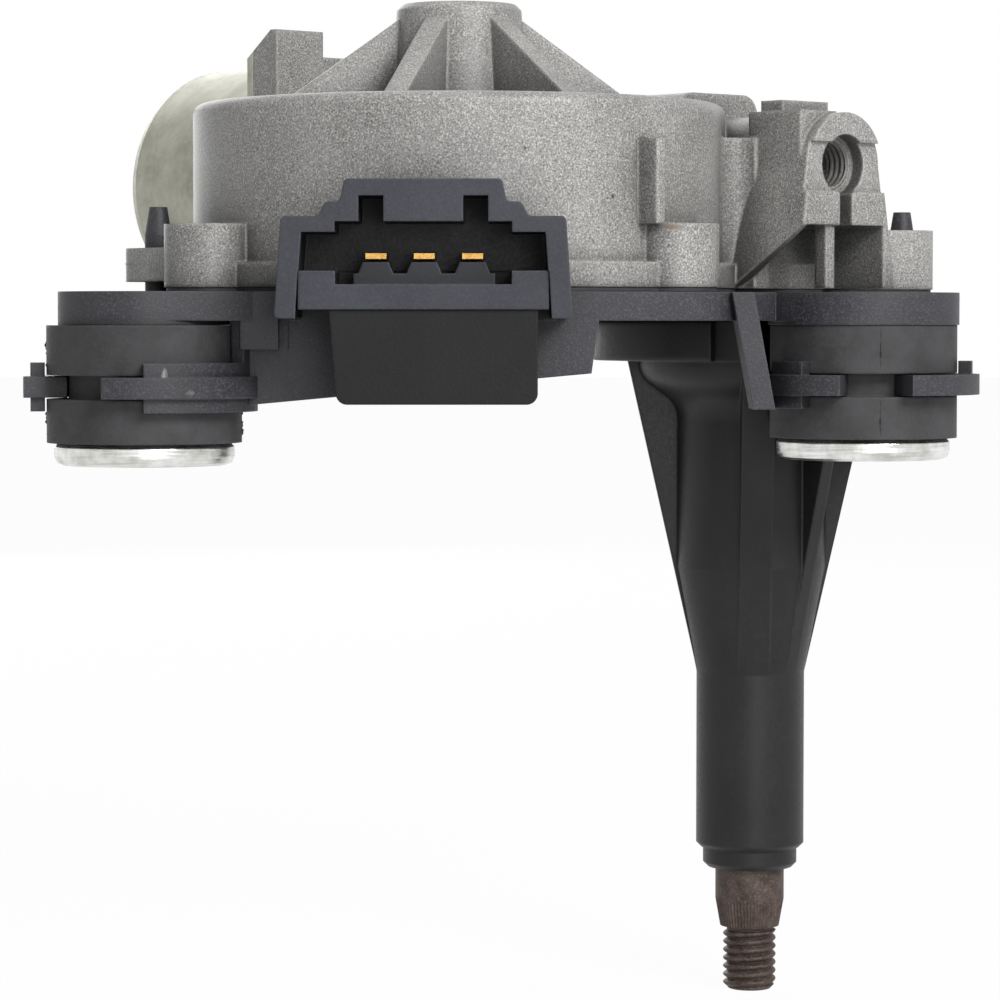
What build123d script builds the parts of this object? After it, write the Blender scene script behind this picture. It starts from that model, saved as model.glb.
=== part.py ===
from build123d import *
import os
from math import atan2, cos, degrees, hypot, pi, radians, sin, sqrt

# Rear wiper motor, in millimetres. The origin lies on the wiper spindle, at the shoulder where its cone
# meets the thread. Z points up along the spindle, X to the right and Y away from the connector.

# Clearances
RUNNING_GAP = 0.05
SEAT_GAP = 0.02
AIR_GAP = 0.3

# Wiper spindle
THREAD_R = 4.0
THREAD_LENGTH = 9.6
THREAD_CHAMFER = 0.8
CONE_TIP_R = 4.45
CONE_HEIGHT = 4.2
SPINDLE_R = 5.2
SPINDLE_EXPOSED = 9.1

# Spindle housing
TUBE_LIP_R = 7.1
TUBE_LIP_HEIGHT = 3.0
TUBE_R = 8.15
TUBE_HEIGHT = 26.7
TUBE_CHAMFER = 0.7
SHANK_HEIGHT = 47.1
CORE_R = 11.3
CORE_TAPER = 16.0
FLARE_R = 17.2
FLARE_HEIGHT = 9.0
RIB_TOP_R = 18.7
RIB_THICK = 2.4
RIB_BEARINGS = (0.0, 45.0, 90.0, 135.0, 180.0, 315.0)
FRONT_RIB_THICK = 4.8
FRONT_RIB_BEARING = 270.0
BASE_R = 21.5
BASE_THICK = 6.0
SPINDLE_BUSH_WALL = 1.6
LOWER_BUSH_LENGTH = 20.0
UPPER_BUSH_LENGTH = 18.0
SEAL_HEIGHT = 2.6

# Carrier plate
PLATE_THICK = 4.0
PLATE_MARGIN = 4.0
PLATE_SPINDLE_R = 24.0
PLATE_EAR_R = 6.5
PLATE_RIM = 2.0
SKIRT_WALL = 2.5
SKIRT_RIGHT_X = -24.5
SKIRT_LEFT_DROP = 11.6
SKIRT_RIGHT_DROP = 7.2
SKIRT_SLANT = 1.0
LEDGE_DEPTH = 2.3
LEDGE_DROP = 3.9
SPINDLE_HOLE_R = 6.6
PEG_R = 1.95
PEG_HEIGHT = 12.4
PEG_TAPER = 0.65
PEG_TAPER_HEIGHT = 4.0
GASKET_THICK = 0.7

# Bush mounts: rubber grommets on flanged sleeves, clipped under the plate
LEFT_BUSH = (-87.0, -50.0)
RIGHT_BUSH = (14.2, -28.0)
REAR_BUSH = (11.0, 45.0)
LEFT_CAP_R = 11.8
RIGHT_CAP_R = 13.7
REAR_CAP_R = 13.0
CAP_DROP = 0.6
BOLT_ACCESS_R = 7.0
SLEEVE_BORE_R = 3.3
SLEEVE_WALL = 1.7
SLEEVE_FLANGE_R = 12.4
SLEEVE_FLANGE_THICK = 3.1
SLEEVE_ROUNDING = 1.2
RUBBER_R = 13.4
GROOVE_R = 10.4
LOWER_RING_HEIGHT = 6.0
GROOVE_HEIGHT = 3.3
UPPER_RING_HEIGHT = 6.8
CLIP_BAND_WALL = 1.9
CLIP_LEDGE = 1.0
CLIP_PLAY = 0.2
CLIP_TAB_HEIGHT = 6.7
STRUT_WIDTH = 3.1
STRUT_SLANT = 3.0
STRUT_DEPTH = 9.5
STRUT_STAND = 1.2

# Gear housing
GEAR_X = -44.0
GEAR_Y = -14.0
WHEEL_CLEARANCE = 4.5
HOUSING_WALL = 3.0
DRUM_HEIGHT = 26.8
RIM_FILLET = 1.6
FLANGE_WIDTH = 2.0
FLANGE_THICK = 3.5
ROOF_BOSS_TOP_R = 9.15
ROOF_BOSS_FOOT_R = 10.2
ROOF_BOSS_HEIGHT = 14.7
ROOF_BOSS_CHAMFER = 0.8
ROOF_RIB_COUNT = 6
ROOF_RIB_FIRST = 10.0
ROOF_RIB_REACH = 26.5
ROOF_RIB_THICK = 3.4
ROOF_RIB_DROP = 2.3
SCREW_BOSS_R = 6.4
SCREW_BOSS_HEIGHT = 8.9
EAR_R = 4.7
EAR_THICK = 4.8
EAR_LIFT = 0.9
SCREW_CIRCLE_OUT = -0.2
LEFT_SCREW_OUT = 2.4
LEFT_SCREW_BEARING = 212.1
FRONT_SCREW_BEARING = 321.8
BACK_SCREW_BEARING = 150.0
RIGHT_SCREW = (17.5, 24.0)
LEFT_PEG_OUT = 5.5
LEFT_PEG_BEARING = 192.8
RIGHT_PEG = (23.0, 3.0)
SCREW_R = 2.0
SCREW_HEAD_R = 4.2
SCREW_HEAD_HEIGHT = 2.4
SCREW_LENGTH = 11.5
DRIVER_SLOT_BEARING = 313.2
DRIVER_SLOT_WIDTH = 4.4
DRIVER_SLOT_HEIGHT = 11.6
DRIVER_SLOT_DEPTH = 1.6

# Worm axis: it starts at the tunnel's end face and runs back to the motor
MESH_AT = 45.6
WORM_HEIGHT = 17.8
MOTOR_ANGLE = 132.0
TUNNEL_ARCH_R = 7.5
TUNNEL_FOOT_HALF = 10.4
TUNNEL_HALF = 8.4
TUNNEL_TOP = 11.3
TUNNEL_START = 26.0
TUNNEL_FILLET = 3.0
DRUM_FILLET = 3.0
DRUM_FILLET_TOP = 4.0
JAW_DROP = 8.7
JAW_TOP = -3.9
ARCH_CAP_FOOT = 3.2
FACE_STEP = 0.7
RECESS_HALF = 8.0
RECESS_DEPTH = 13.0
RECESS_RIB_AT = 2.5
RECESS_RIB_THICK = 1.8
RECESS_RIB_FROM = 0.8
RECESS_RIB_TO = 3.0
PAD_FROM = 6.5
PAD_TO = 10.8
PAD_LEFT = -3.0
PAD_RIGHT = 6.5
PAD_RISE = 1.8
PLATEAU_FROM = 2.0
PLATEAU_TO = 12.3
PLATEAU_RISE = 0.2
THRUST_HOLE_R = 3.6
THRUST_COUNTERBORE_R = 4.35
THRUST_COUNTERBORE_DEPTH = 3.0
KEY_SLOT_WIDTH = 2.6
DRIVER_NICK_WIDTH = 1.0
DRIVER_NICK_DEPTH = 1.2

# Worm gear
GEAR_MODULE = 1.0
WHEEL_TEETH = 61
WORM_PITCH_R = 3.7
WORM_LENGTH = 25.0
WHEEL_FACE = 8.0
TOOTH_BACKLASH = 0.45
AXLE_R = 4.0
HUB_R = 7.6
WEB_THICK = 4.0
CRANK_BOSS_R = 5.4

# Crank linkage
LEVER_LENGTH = 16.5
LEVER_THICK = 4.0
LEVER_HUB_R = 8.6
LINK_EYE_R = 5.5
LINK_PIN_R = 3.0
ROD_THICK = 3.5
ROD_WIDTH = 7.0
SWEEP_DEG = 104.0
SWEEP_STEPS = 6
SWEEP_ROOM = 1.0
WASHER_THICK = 0.8
PIN_HEAD_R = 4.6
PIN_HEAD_HEIGHT = 1.0

# Motor
CAN_R = 20.5
CAN_WALL = 1.2
CAN_FRONT_ROOM = 3.0
CAN_END_ROOM = 7.0
CAN_CUP_R = 7.0
CAN_CUP_DEPTH = 5.0
CAN_FLANGE_THICK = 1.5
MOTOR_FLANGE_OUT = 1.0
MOTOR_FLANGE_THICK = 6.0
MOTOR_FLANGE_AT = 97.0
EAR_STEP_NEAR = 9.6
EAR_STEP_DROP = 0.9
EAR_NECK = 4.5
EAR_MARGIN = 5.0
EAR_FOOT = 3.0
EAR_RISE = 3.1
EAR_BEVEL_FROM = 1.5
EAR_BEVEL_DROP = 5.0
MOTOR_SCREW_BEARING = 26.0
MOTOR_SCREW_R = 2.2
MOTOR_SCREW_COVER = 1.0
BRUSH_CHAMBER_R = 17.7
BRUSH_CHAMBER_WALL = 1.5
SHAFT_R = 4.0
REAR_JOURNAL_R = 3.0
FRONT_JOURNAL_R = 2.5
BUSH_WALL = 2.2
BUSH_LENGTH = 8.0
ARMATURE_GAP = 0.78
STACK_LENGTH = 34.0
COMMUTATOR_R = 10.0
COMMUTATOR_LENGTH = 10.0
COMMUTATOR_BARS = 10
COMMUTATOR_GAP = 7.0
MID_BUSH_GAP = 8.0
CORE_SLOT_DEPTH = 6.1
CORE_SLOT_WIDTH = 2.0
MAGNET_THICK = 3.0
MAGNET_SPAN = 130.0

# Connector
CONNECTOR_X = -48.1
HOOD_DEPTH = 16.7
HOOD_HALF = 18.8
HOOD_SPLAY = 0.9
HOOD_LEG = 2.7
HOOD_TOP_HALF = 10.4
HOOD_TOP_SLOPE = 0.6
HOOD_STEP_HALF = 12.9
HOOD_STEP_SLOPE = 1.0
HOOD_CORNER_R = 0.7
HOOD_RISE = 14.7
HOOD_STEP_RISE = 11.7
HOOD_SHOULDER_RISE = 9.8
HOOD_FOOT_DROP = 3.7
HOOD_ROOF_DROP = 5.6
HOOD_SIDE_DROP = 2.1
SOCKET_HALF = 11.7
KEYWAY_WIDTH = 3.3
KEYWAY_AT = 6.9
KEYWAY_DEPTH = 3.4
LIP_SETBACK = 0.4
LIP_FOOT_DROP = 2.5
LIP_RISE = 0.8
LIP_CORNER_RISE = 2.6
LIP_CORNER_WIDTH = 4.9
BLOCK_SETBACK = 1.0
BLOCK_LEFT = 12.5
BLOCK_RIGHT = 15.1
BLOCK_DROP = 15.1
BLOCK_TAPER = 1.0
BLOCK_CORNER_R = 1.5
PIN_PITCH = 6.45
PIN_WIDTH = 2.8
PIN_THICK = 0.8
PIN_RISE = 4.6
PIN_REACH = 6.0
PEDESTAL_FOOT_HALF = 3.0
PEDESTAL_TOP_HALF = 1.7
PEDESTAL_GAP = 0.4
CARRIER_RISE = 2.3
SOCKET_DEPTH = 14.0

# Levels worked out from the spindle upwards
TUBE_FOOT_Z = SPINDLE_EXPOSED + TUBE_LIP_HEIGHT
SHANK_FOOT_Z = TUBE_FOOT_Z + TUBE_HEIGHT
BASE_FOOT_Z = SHANK_FOOT_Z + SHANK_HEIGHT
PLATE_FOOT_Z = BASE_FOOT_Z + BASE_THICK
PLATE_TOP_Z = PLATE_FOOT_Z + PLATE_THICK
HOUSING_FOOT_Z = PLATE_TOP_Z + GASKET_THICK
ROOF_Z = HOUSING_FOOT_Z + DRUM_HEIGHT
WORM_Z = HOUSING_FOOT_Z + WORM_HEIGHT
LEVER_FOOT_Z = PLATE_TOP_Z + WASHER_THICK + AIR_GAP
LEVER_TOP_Z = LEVER_FOOT_Z + LEVER_THICK
ROD_FOOT_Z = LEVER_TOP_Z + AIR_GAP
ROD_TOP_Z = ROD_FOOT_Z + ROD_THICK
PIN_HEAD_Z = ROD_TOP_Z + AIR_GAP
LINK_TOP_Z = PIN_HEAD_Z + PIN_HEAD_HEIGHT + 0.5
WHEEL_UNDER_Z = LINK_TOP_Z + AIR_GAP
CHAMBER_TOP_Z = WHEEL_UNDER_Z

# Levels of a bush mount, worked out from the plate downwards
CAP_FOOT_Z = PLATE_FOOT_Z - CAP_DROP
RUBBER_TOP_Z = CAP_FOOT_Z - SEAT_GAP
GROOVE_TOP_Z = RUBBER_TOP_Z - UPPER_RING_HEIGHT
GROOVE_FOOT_Z = GROOVE_TOP_Z - GROOVE_HEIGHT
RUBBER_FOOT_Z = GROOVE_FOOT_Z - LOWER_RING_HEIGHT
SLEEVE_FOOT_Z = RUBBER_FOOT_Z - SLEEVE_FLANGE_THICK
SLEEVE_R = SLEEVE_BORE_R + SLEEVE_WALL
CLIP_BAND_R = RUBBER_R + AIR_GAP
CLIP_OUTER_R = CLIP_BAND_R + CLIP_BAND_WALL
CLIP_EYE_R = CLIP_OUTER_R + CLIP_LEDGE
EYE_FOOT_Z = GROOVE_FOOT_Z + CLIP_PLAY
EYE_TOP_Z = GROOVE_TOP_Z - CLIP_PLAY
BAND_FOOT_Z = (EYE_FOOT_Z + EYE_TOP_Z - CLIP_TAB_HEIGHT) / 2.0
BAND_TOP_Z = BAND_FOOT_Z + CLIP_TAB_HEIGHT

# Crank linkage worked out from the lever's two dead centres, which lie evenly about a right angle
GEAR_DISTANCE = hypot(GEAR_X, GEAR_Y)
GEAR_BEARING = degrees(atan2(GEAR_Y, GEAR_X))
FAR_ANGLE = 90.0 + SWEEP_DEG / 2.0
NEAR_ANGLE = 90.0 - SWEEP_DEG / 2.0
SQUARES = GEAR_DISTANCE**2 + LEVER_LENGTH**2
FAR_SPAN = sqrt(SQUARES - 2 * GEAR_DISTANCE * LEVER_LENGTH * cos(radians(FAR_ANGLE)))
NEAR_SPAN = sqrt(SQUARES - 2 * GEAR_DISTANCE * LEVER_LENGTH * cos(radians(NEAR_ANGLE)))
ROD_LENGTH = (FAR_SPAN + NEAR_SPAN) / 2.0
CRANK_R = (FAR_SPAN - NEAR_SPAN) / 2.0
REST_BEARING = GEAR_BEARING - FAR_ANGLE


def polar(radius, bearing, x=0.0, y=0.0):
    """Point at a radius and bearing in degrees from a centre."""
    return (x + radius * cos(radians(bearing)), y + radius * sin(radians(bearing)))


LEVER_PIN = polar(LEVER_LENGTH, REST_BEARING)
ROD_BEARING = degrees(atan2(GEAR_Y - LEVER_PIN[1], GEAR_X - LEVER_PIN[0]))
CRANK_PIN = polar(ROD_LENGTH, ROD_BEARING, *LEVER_PIN)

# Worm frame: local x points to the wheel, local y up, local z along the shaft towards the motor
WORM_DIR = (cos(radians(MOTOR_ANGLE)), sin(radians(MOTOR_ANGLE)), 0.0)
WHEEL_DIR = (-sin(radians(MOTOR_ANGLE)), cos(radians(MOTOR_ANGLE)), 0.0)
WHEEL_PITCH_R = GEAR_MODULE * WHEEL_TEETH / 2.0
CENTRE_DISTANCE = WHEEL_PITCH_R + WORM_PITCH_R
TUNNEL_END_X = GEAR_X - MESH_AT * WORM_DIR[0] - CENTRE_DISTANCE * WHEEL_DIR[0]
TUNNEL_END_Y = GEAR_Y - MESH_AT * WORM_DIR[1] - CENTRE_DISTANCE * WHEEL_DIR[1]
WORM_FRAME = Plane(origin=(TUNNEL_END_X, TUNNEL_END_Y, WORM_Z), x_dir=WHEEL_DIR, z_dir=WORM_DIR)
WORM_TIP_R = WORM_PITCH_R + GEAR_MODULE
WORM_ROOT_R = WORM_PITCH_R - 1.2 * GEAR_MODULE
LEAD = pi * GEAR_MODULE
LEAD_ANGLE = degrees(atan2(LEAD, 2 * pi * WORM_PITCH_R))
MID_JOURNAL_R = WORM_TIP_R + 0.1

# Plan of the housing and the plate, worked out from the wheel outwards
DRUM_R = WHEEL_PITCH_R + GEAR_MODULE + WHEEL_CLEARANCE + HOUSING_WALL
PLATE_GEAR_R = DRUM_R + PLATE_MARGIN
LEFT_SCREW = polar(DRUM_R + LEFT_SCREW_OUT, LEFT_SCREW_BEARING, GEAR_X, GEAR_Y)
FRONT_SCREW = polar(DRUM_R + SCREW_CIRCLE_OUT, FRONT_SCREW_BEARING, GEAR_X, GEAR_Y)
BACK_SCREW = polar(DRUM_R + SCREW_CIRCLE_OUT, BACK_SCREW_BEARING, GEAR_X, GEAR_Y)
LEFT_PEG = polar(DRUM_R + LEFT_PEG_OUT, LEFT_PEG_BEARING, GEAR_X, GEAR_Y)
HEAD_SEAT_Z = PLATE_FOOT_Z + SCREW_HEAD_HEIGHT
HOUSING_FRONT = GEAR_Y - DRUM_R - FLANGE_WIDTH
SKIRT_FRONT = HOUSING_FRONT + AIR_GAP
SKIRT_LEFT_X = LEFT_BUSH[0] + CLIP_BAND_R

# Connector, worked out from the housing's front and the plate's top
HOOD_BACK = HOUSING_FRONT - AIR_GAP
CONNECTOR_FRONT = HOOD_BACK - HOOD_DEPTH
CONNECTOR_PLANE = Plane(origin=(CONNECTOR_X, CONNECTOR_FRONT, 0), x_dir=(1, 0, 0), z_dir=(0, -1, 0))
HOOD_TOP_Z = PLATE_TOP_Z + HOOD_RISE
HOOD_STEP_Z = PLATE_TOP_Z + HOOD_STEP_RISE
HOOD_SHOULDER_Z = PLATE_TOP_Z + HOOD_SHOULDER_RISE
HOOD_FOOT_Z = PLATE_TOP_Z - HOOD_FOOT_DROP
HOOD_INNER_HALF = HOOD_HALF - HOOD_LEG
LIP_FOOT_Z = PLATE_TOP_Z - LIP_FOOT_DROP
LIP_TOP_Z = PLATE_TOP_Z + LIP_RISE
LIP_CORNER_Z = PLATE_TOP_Z + LIP_CORNER_RISE
LIP_SPLAY = HOOD_SPLAY * (HOOD_SHOULDER_Z - LIP_CORNER_Z) / (HOOD_SHOULDER_Z - HOOD_FOOT_Z)
LIP_HALF = HOOD_INNER_HALF + LIP_SPLAY - SEAT_GAP
BLOCK_FOOT_Z = PLATE_TOP_Z - BLOCK_DROP
CARRIER_TOP_Z = PLATE_TOP_Z + CARRIER_RISE
PIN_Z = PLATE_TOP_Z + PIN_RISE

# Stations along the worm axis
CAN_FROM = MOTOR_FLANGE_AT + MOTOR_FLANGE_THICK
STACK_AT = CAN_FROM + CAN_FRONT_ROOM
CAN_TO = STACK_AT + STACK_LENGTH + CAN_END_ROOM
FRONT_BUSH_AT = 9.5
THRUST_SCREW_AT = 7.0
WORM_FROM = MESH_AT - WORM_LENGTH / 2.0
WORM_TO = MESH_AT + WORM_LENGTH / 2.0
MID_BUSH_AT = WORM_TO + MID_BUSH_GAP
COMMUTATOR_AT = MID_BUSH_AT + BUSH_LENGTH + COMMUTATOR_GAP
FRONT_BUSH_TO = FRONT_BUSH_AT + BUSH_LENGTH

# Motor sizes across the worm axis, worked out from the can
STACK_R = CAN_R - CAN_WALL - SEAT_GAP - MAGNET_THICK - ARMATURE_GAP
MOTOR_FLANGE_R = CAN_R + MOTOR_FLANGE_OUT
MOTOR_SCREW_AT = polar(CAN_R + SCREW_HEAD_R + AIR_GAP, MOTOR_SCREW_BEARING)
EAR_NEAR = MOTOR_SCREW_AT[0] - EAR_NECK
EAR_FAR = MOTOR_SCREW_AT[0] + EAR_MARGIN
EAR_TOP = CAN_R + EAR_RISE
EAR_STEP_TOP = CAN_R - EAR_STEP_DROP


def disc(x, y, foot, top, radius):
    """Upright cylinder between two levels."""
    return Pos(x, y, foot) * extrude(Circle(radius), top - foot)


def pipe(x, y, foot, top, outer, inner):
    """Upright ring between two levels."""
    return Pos(x, y, foot) * extrude(Circle(outer) - Circle(inner), top - foot)


def slab(low, high):
    """Box between two corners."""
    size = [b - a for a, b in zip(low, high)]
    return Pos(*low) * Box(*size, align=(Align.MIN, Align.MIN, Align.MIN))


def hull_of(*circles):
    """Outline stretched round circles given as (x, y, radius)."""
    edges = ShapeList()
    for x, y, radius in circles:
        edges += (Pos(x, y) * Circle(radius)).edges()
    return make_hull(edges)


def raised(outline, foot, top):
    """Outline in plan, extruded between two levels."""
    return Pos(0, 0, foot) * extrude(outline, top - foot)


def turned(*points):
    """Profile of (radius, height) points turned about the upright axis."""
    return revolve(Plane.XZ * make_face(Polyline(*points, close=True)), Axis.Z)


def fin(thick, *points):
    """Upright fin: a profile of (radius, height) points with a thickness."""
    return extrude(Plane.XZ * make_face(Polyline(*points, close=True)), thick / 2.0, both=True)


def rod(start, end, radius, inner=0.0):
    """Cylinder or ring along the worm axis."""
    section = Circle(radius) - Circle(inner) if inner else Circle(radius)
    return WORM_FRAME * (Pos(0, 0, start) * extrude(section, end - start))


def sector(x, y, foot, top, outer, inner, start, span):
    """Part of an upright ring, from a bearing through a span in degrees."""
    far = CenterArc((0, 0), outer, start, span)
    near = CenterArc((0, 0), inner, start, span)
    plan = make_face([far, Line(far @ 1, near @ 1), near, Line(near @ 0, far @ 0)])
    return Pos(x, y, foot) * extrude(plan, top - foot)


def wiper_spindle():
    """Stepped spindle with its cone and its threaded end."""
    return turned(
        (0, -THREAD_LENGTH),
        (THREAD_R - THREAD_CHAMFER, -THREAD_LENGTH),
        (THREAD_R, THREAD_CHAMFER - THREAD_LENGTH),
        (THREAD_R, 0),
        (CONE_TIP_R, 0),
        (SPINDLE_R, CONE_HEIGHT),
        (SPINDLE_R, LEVER_TOP_Z),
        (0, LEVER_TOP_Z),
    )


SPINDLE_BUSH_R = SPINDLE_R + RUNNING_GAP + SPINDLE_BUSH_WALL
SPINDLE_BORE_R = SPINDLE_BUSH_R + SEAT_GAP
LOWER_BUSH_Z = TUBE_FOOT_Z + SEAL_HEIGHT + SEAT_GAP


def shank_profile():
    """Half section of the spindle housing, flared like a bell under its base."""
    neck_z = BASE_FOOT_Z - FLARE_HEIGHT
    outside = Polyline(
        (0, SPINDLE_EXPOSED),
        (TUBE_LIP_R - TUBE_CHAMFER, SPINDLE_EXPOSED),
        (TUBE_LIP_R, SPINDLE_EXPOSED + TUBE_CHAMFER),
        (TUBE_LIP_R, TUBE_FOOT_Z),
        (TUBE_R - TUBE_CHAMFER, TUBE_FOOT_Z),
        (TUBE_R, TUBE_FOOT_Z + TUBE_CHAMFER),
        (TUBE_R, SHANK_FOOT_Z),
        (CORE_R, SHANK_FOOT_Z + CORE_TAPER),
        (CORE_R, neck_z),
    )
    bell = Spline((CORE_R, neck_z), (FLARE_R, BASE_FOOT_Z), tangents=((0, 1), (0, 1)))
    base = Polyline(
        (FLARE_R, BASE_FOOT_Z),
        (BASE_R, BASE_FOOT_Z),
        (BASE_R, PLATE_FOOT_Z),
        (0, PLATE_FOOT_Z),
        (0, SPINDLE_EXPOSED),
    )
    return make_face([*outside.edges(), bell, *base.edges()])


def shank_rib(thick, bearing):
    """Upright rib that widens from the tube to the base. The corners of its foot lie on the tube."""
    foot_r = sqrt(TUBE_R**2 - (thick / 2.0) ** 2)
    rib = fin(
        thick,
        (SPINDLE_R, SHANK_FOOT_Z - TUBE_R),
        (foot_r, SHANK_FOOT_Z),
        (RIB_TOP_R, BASE_FOOT_Z),
        (SPINDLE_R, BASE_FOOT_Z),
    )
    return Rot(0, 0, bearing) * rib


def spindle_housing():
    """Tube under a ribbed, flared shank and a round base."""
    body = revolve(Plane.XZ * shank_profile(), Axis.Z)
    for bearing in RIB_BEARINGS:
        body += shank_rib(RIB_THICK, bearing)
    body += shank_rib(FRONT_RIB_THICK, FRONT_RIB_BEARING)
    body -= disc(0, 0, SPINDLE_EXPOSED - 1, TUBE_FOOT_Z + 1, SPINDLE_R + AIR_GAP)
    body -= disc(0, 0, TUBE_FOOT_Z, PLATE_FOOT_Z + 1, SPINDLE_BORE_R)
    return body - disc(*RIGHT_BUSH, SLEEVE_FOOT_Z, PLATE_FOOT_Z + 1, CLIP_EYE_R + AIR_GAP)


def spindle_bush(foot, length):
    """Sintered bush between the spindle and its housing."""
    return pipe(0, 0, foot, foot + length, SPINDLE_BUSH_R, SPINDLE_R + RUNNING_GAP)


def spindle_seal():
    """Rubber seal in the mouth of the tube."""
    return pipe(0, 0, TUBE_FOOT_Z, TUBE_FOOT_Z + SEAL_HEIGHT, SPINDLE_BUSH_R, SPINDLE_R + RUNNING_GAP)


def spindle_washer():
    """Thrust washer between the plate and the lever."""
    return pipe(0, 0, PLATE_TOP_Z, PLATE_TOP_Z + WASHER_THICK, LEVER_HUB_R, SPINDLE_R + RUNNING_GAP)


def drive_lever():
    """Lever pressed on the spindle's top."""
    lever = raised(hull_of((0, 0, LEVER_HUB_R), (*LEVER_PIN, LINK_EYE_R)), LEVER_FOOT_Z, LEVER_TOP_Z)
    lever -= disc(0, 0, LEVER_FOOT_Z - 1, LEVER_TOP_Z + 1, SPINDLE_R + SEAT_GAP)
    return lever - disc(*LEVER_PIN, LEVER_FOOT_Z - 1, LEVER_TOP_Z + 1, LINK_PIN_R + SEAT_GAP)


def lever_pin():
    """Headed pin that joins the lever and the rod."""
    shank = disc(*LEVER_PIN, LEVER_FOOT_Z, PIN_HEAD_Z, LINK_PIN_R)
    return shank + disc(*LEVER_PIN, PIN_HEAD_Z, PIN_HEAD_Z + PIN_HEAD_HEIGHT, PIN_HEAD_R)


def connecting_rod():
    """Flat rod with an eye at each end."""
    bar = hull_of((*LEVER_PIN, ROD_WIDTH / 2.0), (*CRANK_PIN, ROD_WIDTH / 2.0))
    outline = bar + Pos(*LEVER_PIN) * Circle(LINK_EYE_R) + Pos(*CRANK_PIN) * Circle(LINK_EYE_R)
    link = raised(outline, ROD_FOOT_Z, ROD_TOP_Z)
    link -= disc(*LEVER_PIN, ROD_FOOT_Z - 1, ROD_TOP_Z + 1, LINK_PIN_R + RUNNING_GAP)
    return link - disc(*CRANK_PIN, ROD_FOOT_Z - 1, ROD_TOP_Z + 1, LINK_PIN_R + SEAT_GAP)


def crank_pin():
    """Shouldered pin at the crank's end of the rod."""
    shank = disc(*CRANK_PIN, ROD_FOOT_Z, LINK_TOP_Z, LINK_PIN_R)
    return shank + disc(*CRANK_PIN, ROD_TOP_Z, ROD_TOP_Z + PIN_HEAD_HEIGHT, PIN_HEAD_R)


WHEEL_MID_Z = WORM_Z
WHEEL_FOOT_Z = WHEEL_MID_Z - WHEEL_FACE / 2.0
WHEEL_TOP_Z = WHEEL_MID_Z + WHEEL_FACE / 2.0
WHEEL_ROOT_R = WHEEL_PITCH_R - 1.2 * GEAR_MODULE
WHEEL_TIP_R = WHEEL_PITCH_R + GEAR_MODULE
RIM_INNER_R = WHEEL_ROOT_R - 3.5
CLIP_FOOT_Z = WHEEL_UNDER_Z
CLIP_TOP_Z = CLIP_FOOT_Z + 0.9
HUB_FOOT_Z = CLIP_TOP_Z + AIR_GAP
HUB_TOP_Z = ROOF_Z - HOUSING_WALL - AIR_GAP
TOOTH_HALF = (LEAD / 2.0 - TOOTH_BACKLASH) / 2.0
FLANK_SLOPE = 0.36
MESH_BEARING = degrees(atan2(-WHEEL_DIR[1], -WHEEL_DIR[0]))
CONTACT_THICK = 0.5
CONTACT_RIM = 0.6
CONTACT_INNER_R = CRANK_R + CRANK_BOSS_R + 0.6


def tooth_points(root, tip, pitch):
    """Trapezoid of (height, half width) corners for a tooth or thread."""
    wide = TOOTH_HALF + (pitch - root) * FLANK_SLOPE
    narrow = TOOTH_HALF - (tip - pitch) * FLANK_SLOPE
    return (root, -wide), (tip, -narrow), (tip, narrow), (root, wide)


def wheel_tooth():
    """One tooth of the worm wheel, slanted by the worm's lead."""
    bed = WHEEL_ROOT_R - 0.5
    outline = make_face(Polyline(*tooth_points(bed, WHEEL_TIP_R, WHEEL_PITCH_R), close=True))
    slant = WHEEL_FACE * sin(radians(LEAD_ANGLE))
    rise = (0.0, slant, WHEEL_FACE)
    length = hypot(slant, WHEEL_FACE)
    return Pos(0, -slant / 2.0, WHEEL_FOOT_Z) * extrude(outline, length, dir=rise)


def worm_wheel():
    """Moulded worm wheel with its hub, web, rim, teeth and crank boss."""
    web_foot = WHEEL_MID_Z - WEB_THICK / 2.0
    web_top = WHEEL_MID_Z + WEB_THICK / 2.0
    wheel = turned(
        (AXLE_R + RUNNING_GAP, HUB_FOOT_Z),
        (HUB_R, HUB_FOOT_Z),
        (HUB_R, web_foot),
        (RIM_INNER_R, web_foot),
        (RIM_INNER_R, WHEEL_FOOT_Z),
        (WHEEL_ROOT_R, WHEEL_FOOT_Z),
        (WHEEL_ROOT_R, WHEEL_TOP_Z),
        (RIM_INNER_R, WHEEL_TOP_Z),
        (RIM_INNER_R, web_top),
        (HUB_R, web_top),
        (HUB_R, HUB_TOP_Z),
        (AXLE_R + RUNNING_GAP, HUB_TOP_Z),
    )
    tooth = wheel_tooth()
    step = 360.0 / WHEEL_TEETH
    first = MESH_BEARING + step / 2.0
    wheel += [Rot(0, 0, first + index * step) * tooth for index in range(WHEEL_TEETH)]
    placed = Pos(GEAR_X, GEAR_Y) * wheel
    return placed + disc(*CRANK_PIN, WHEEL_UNDER_Z, WHEEL_MID_Z, CRANK_BOSS_R)


def contact_disc():
    """Park contact ring under the wheel's rim."""
    foot = WHEEL_FOOT_Z - CONTACT_THICK
    return pipe(GEAR_X, GEAR_Y, foot, WHEEL_FOOT_Z, WHEEL_ROOT_R - CONTACT_RIM, CONTACT_INNER_R)


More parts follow.
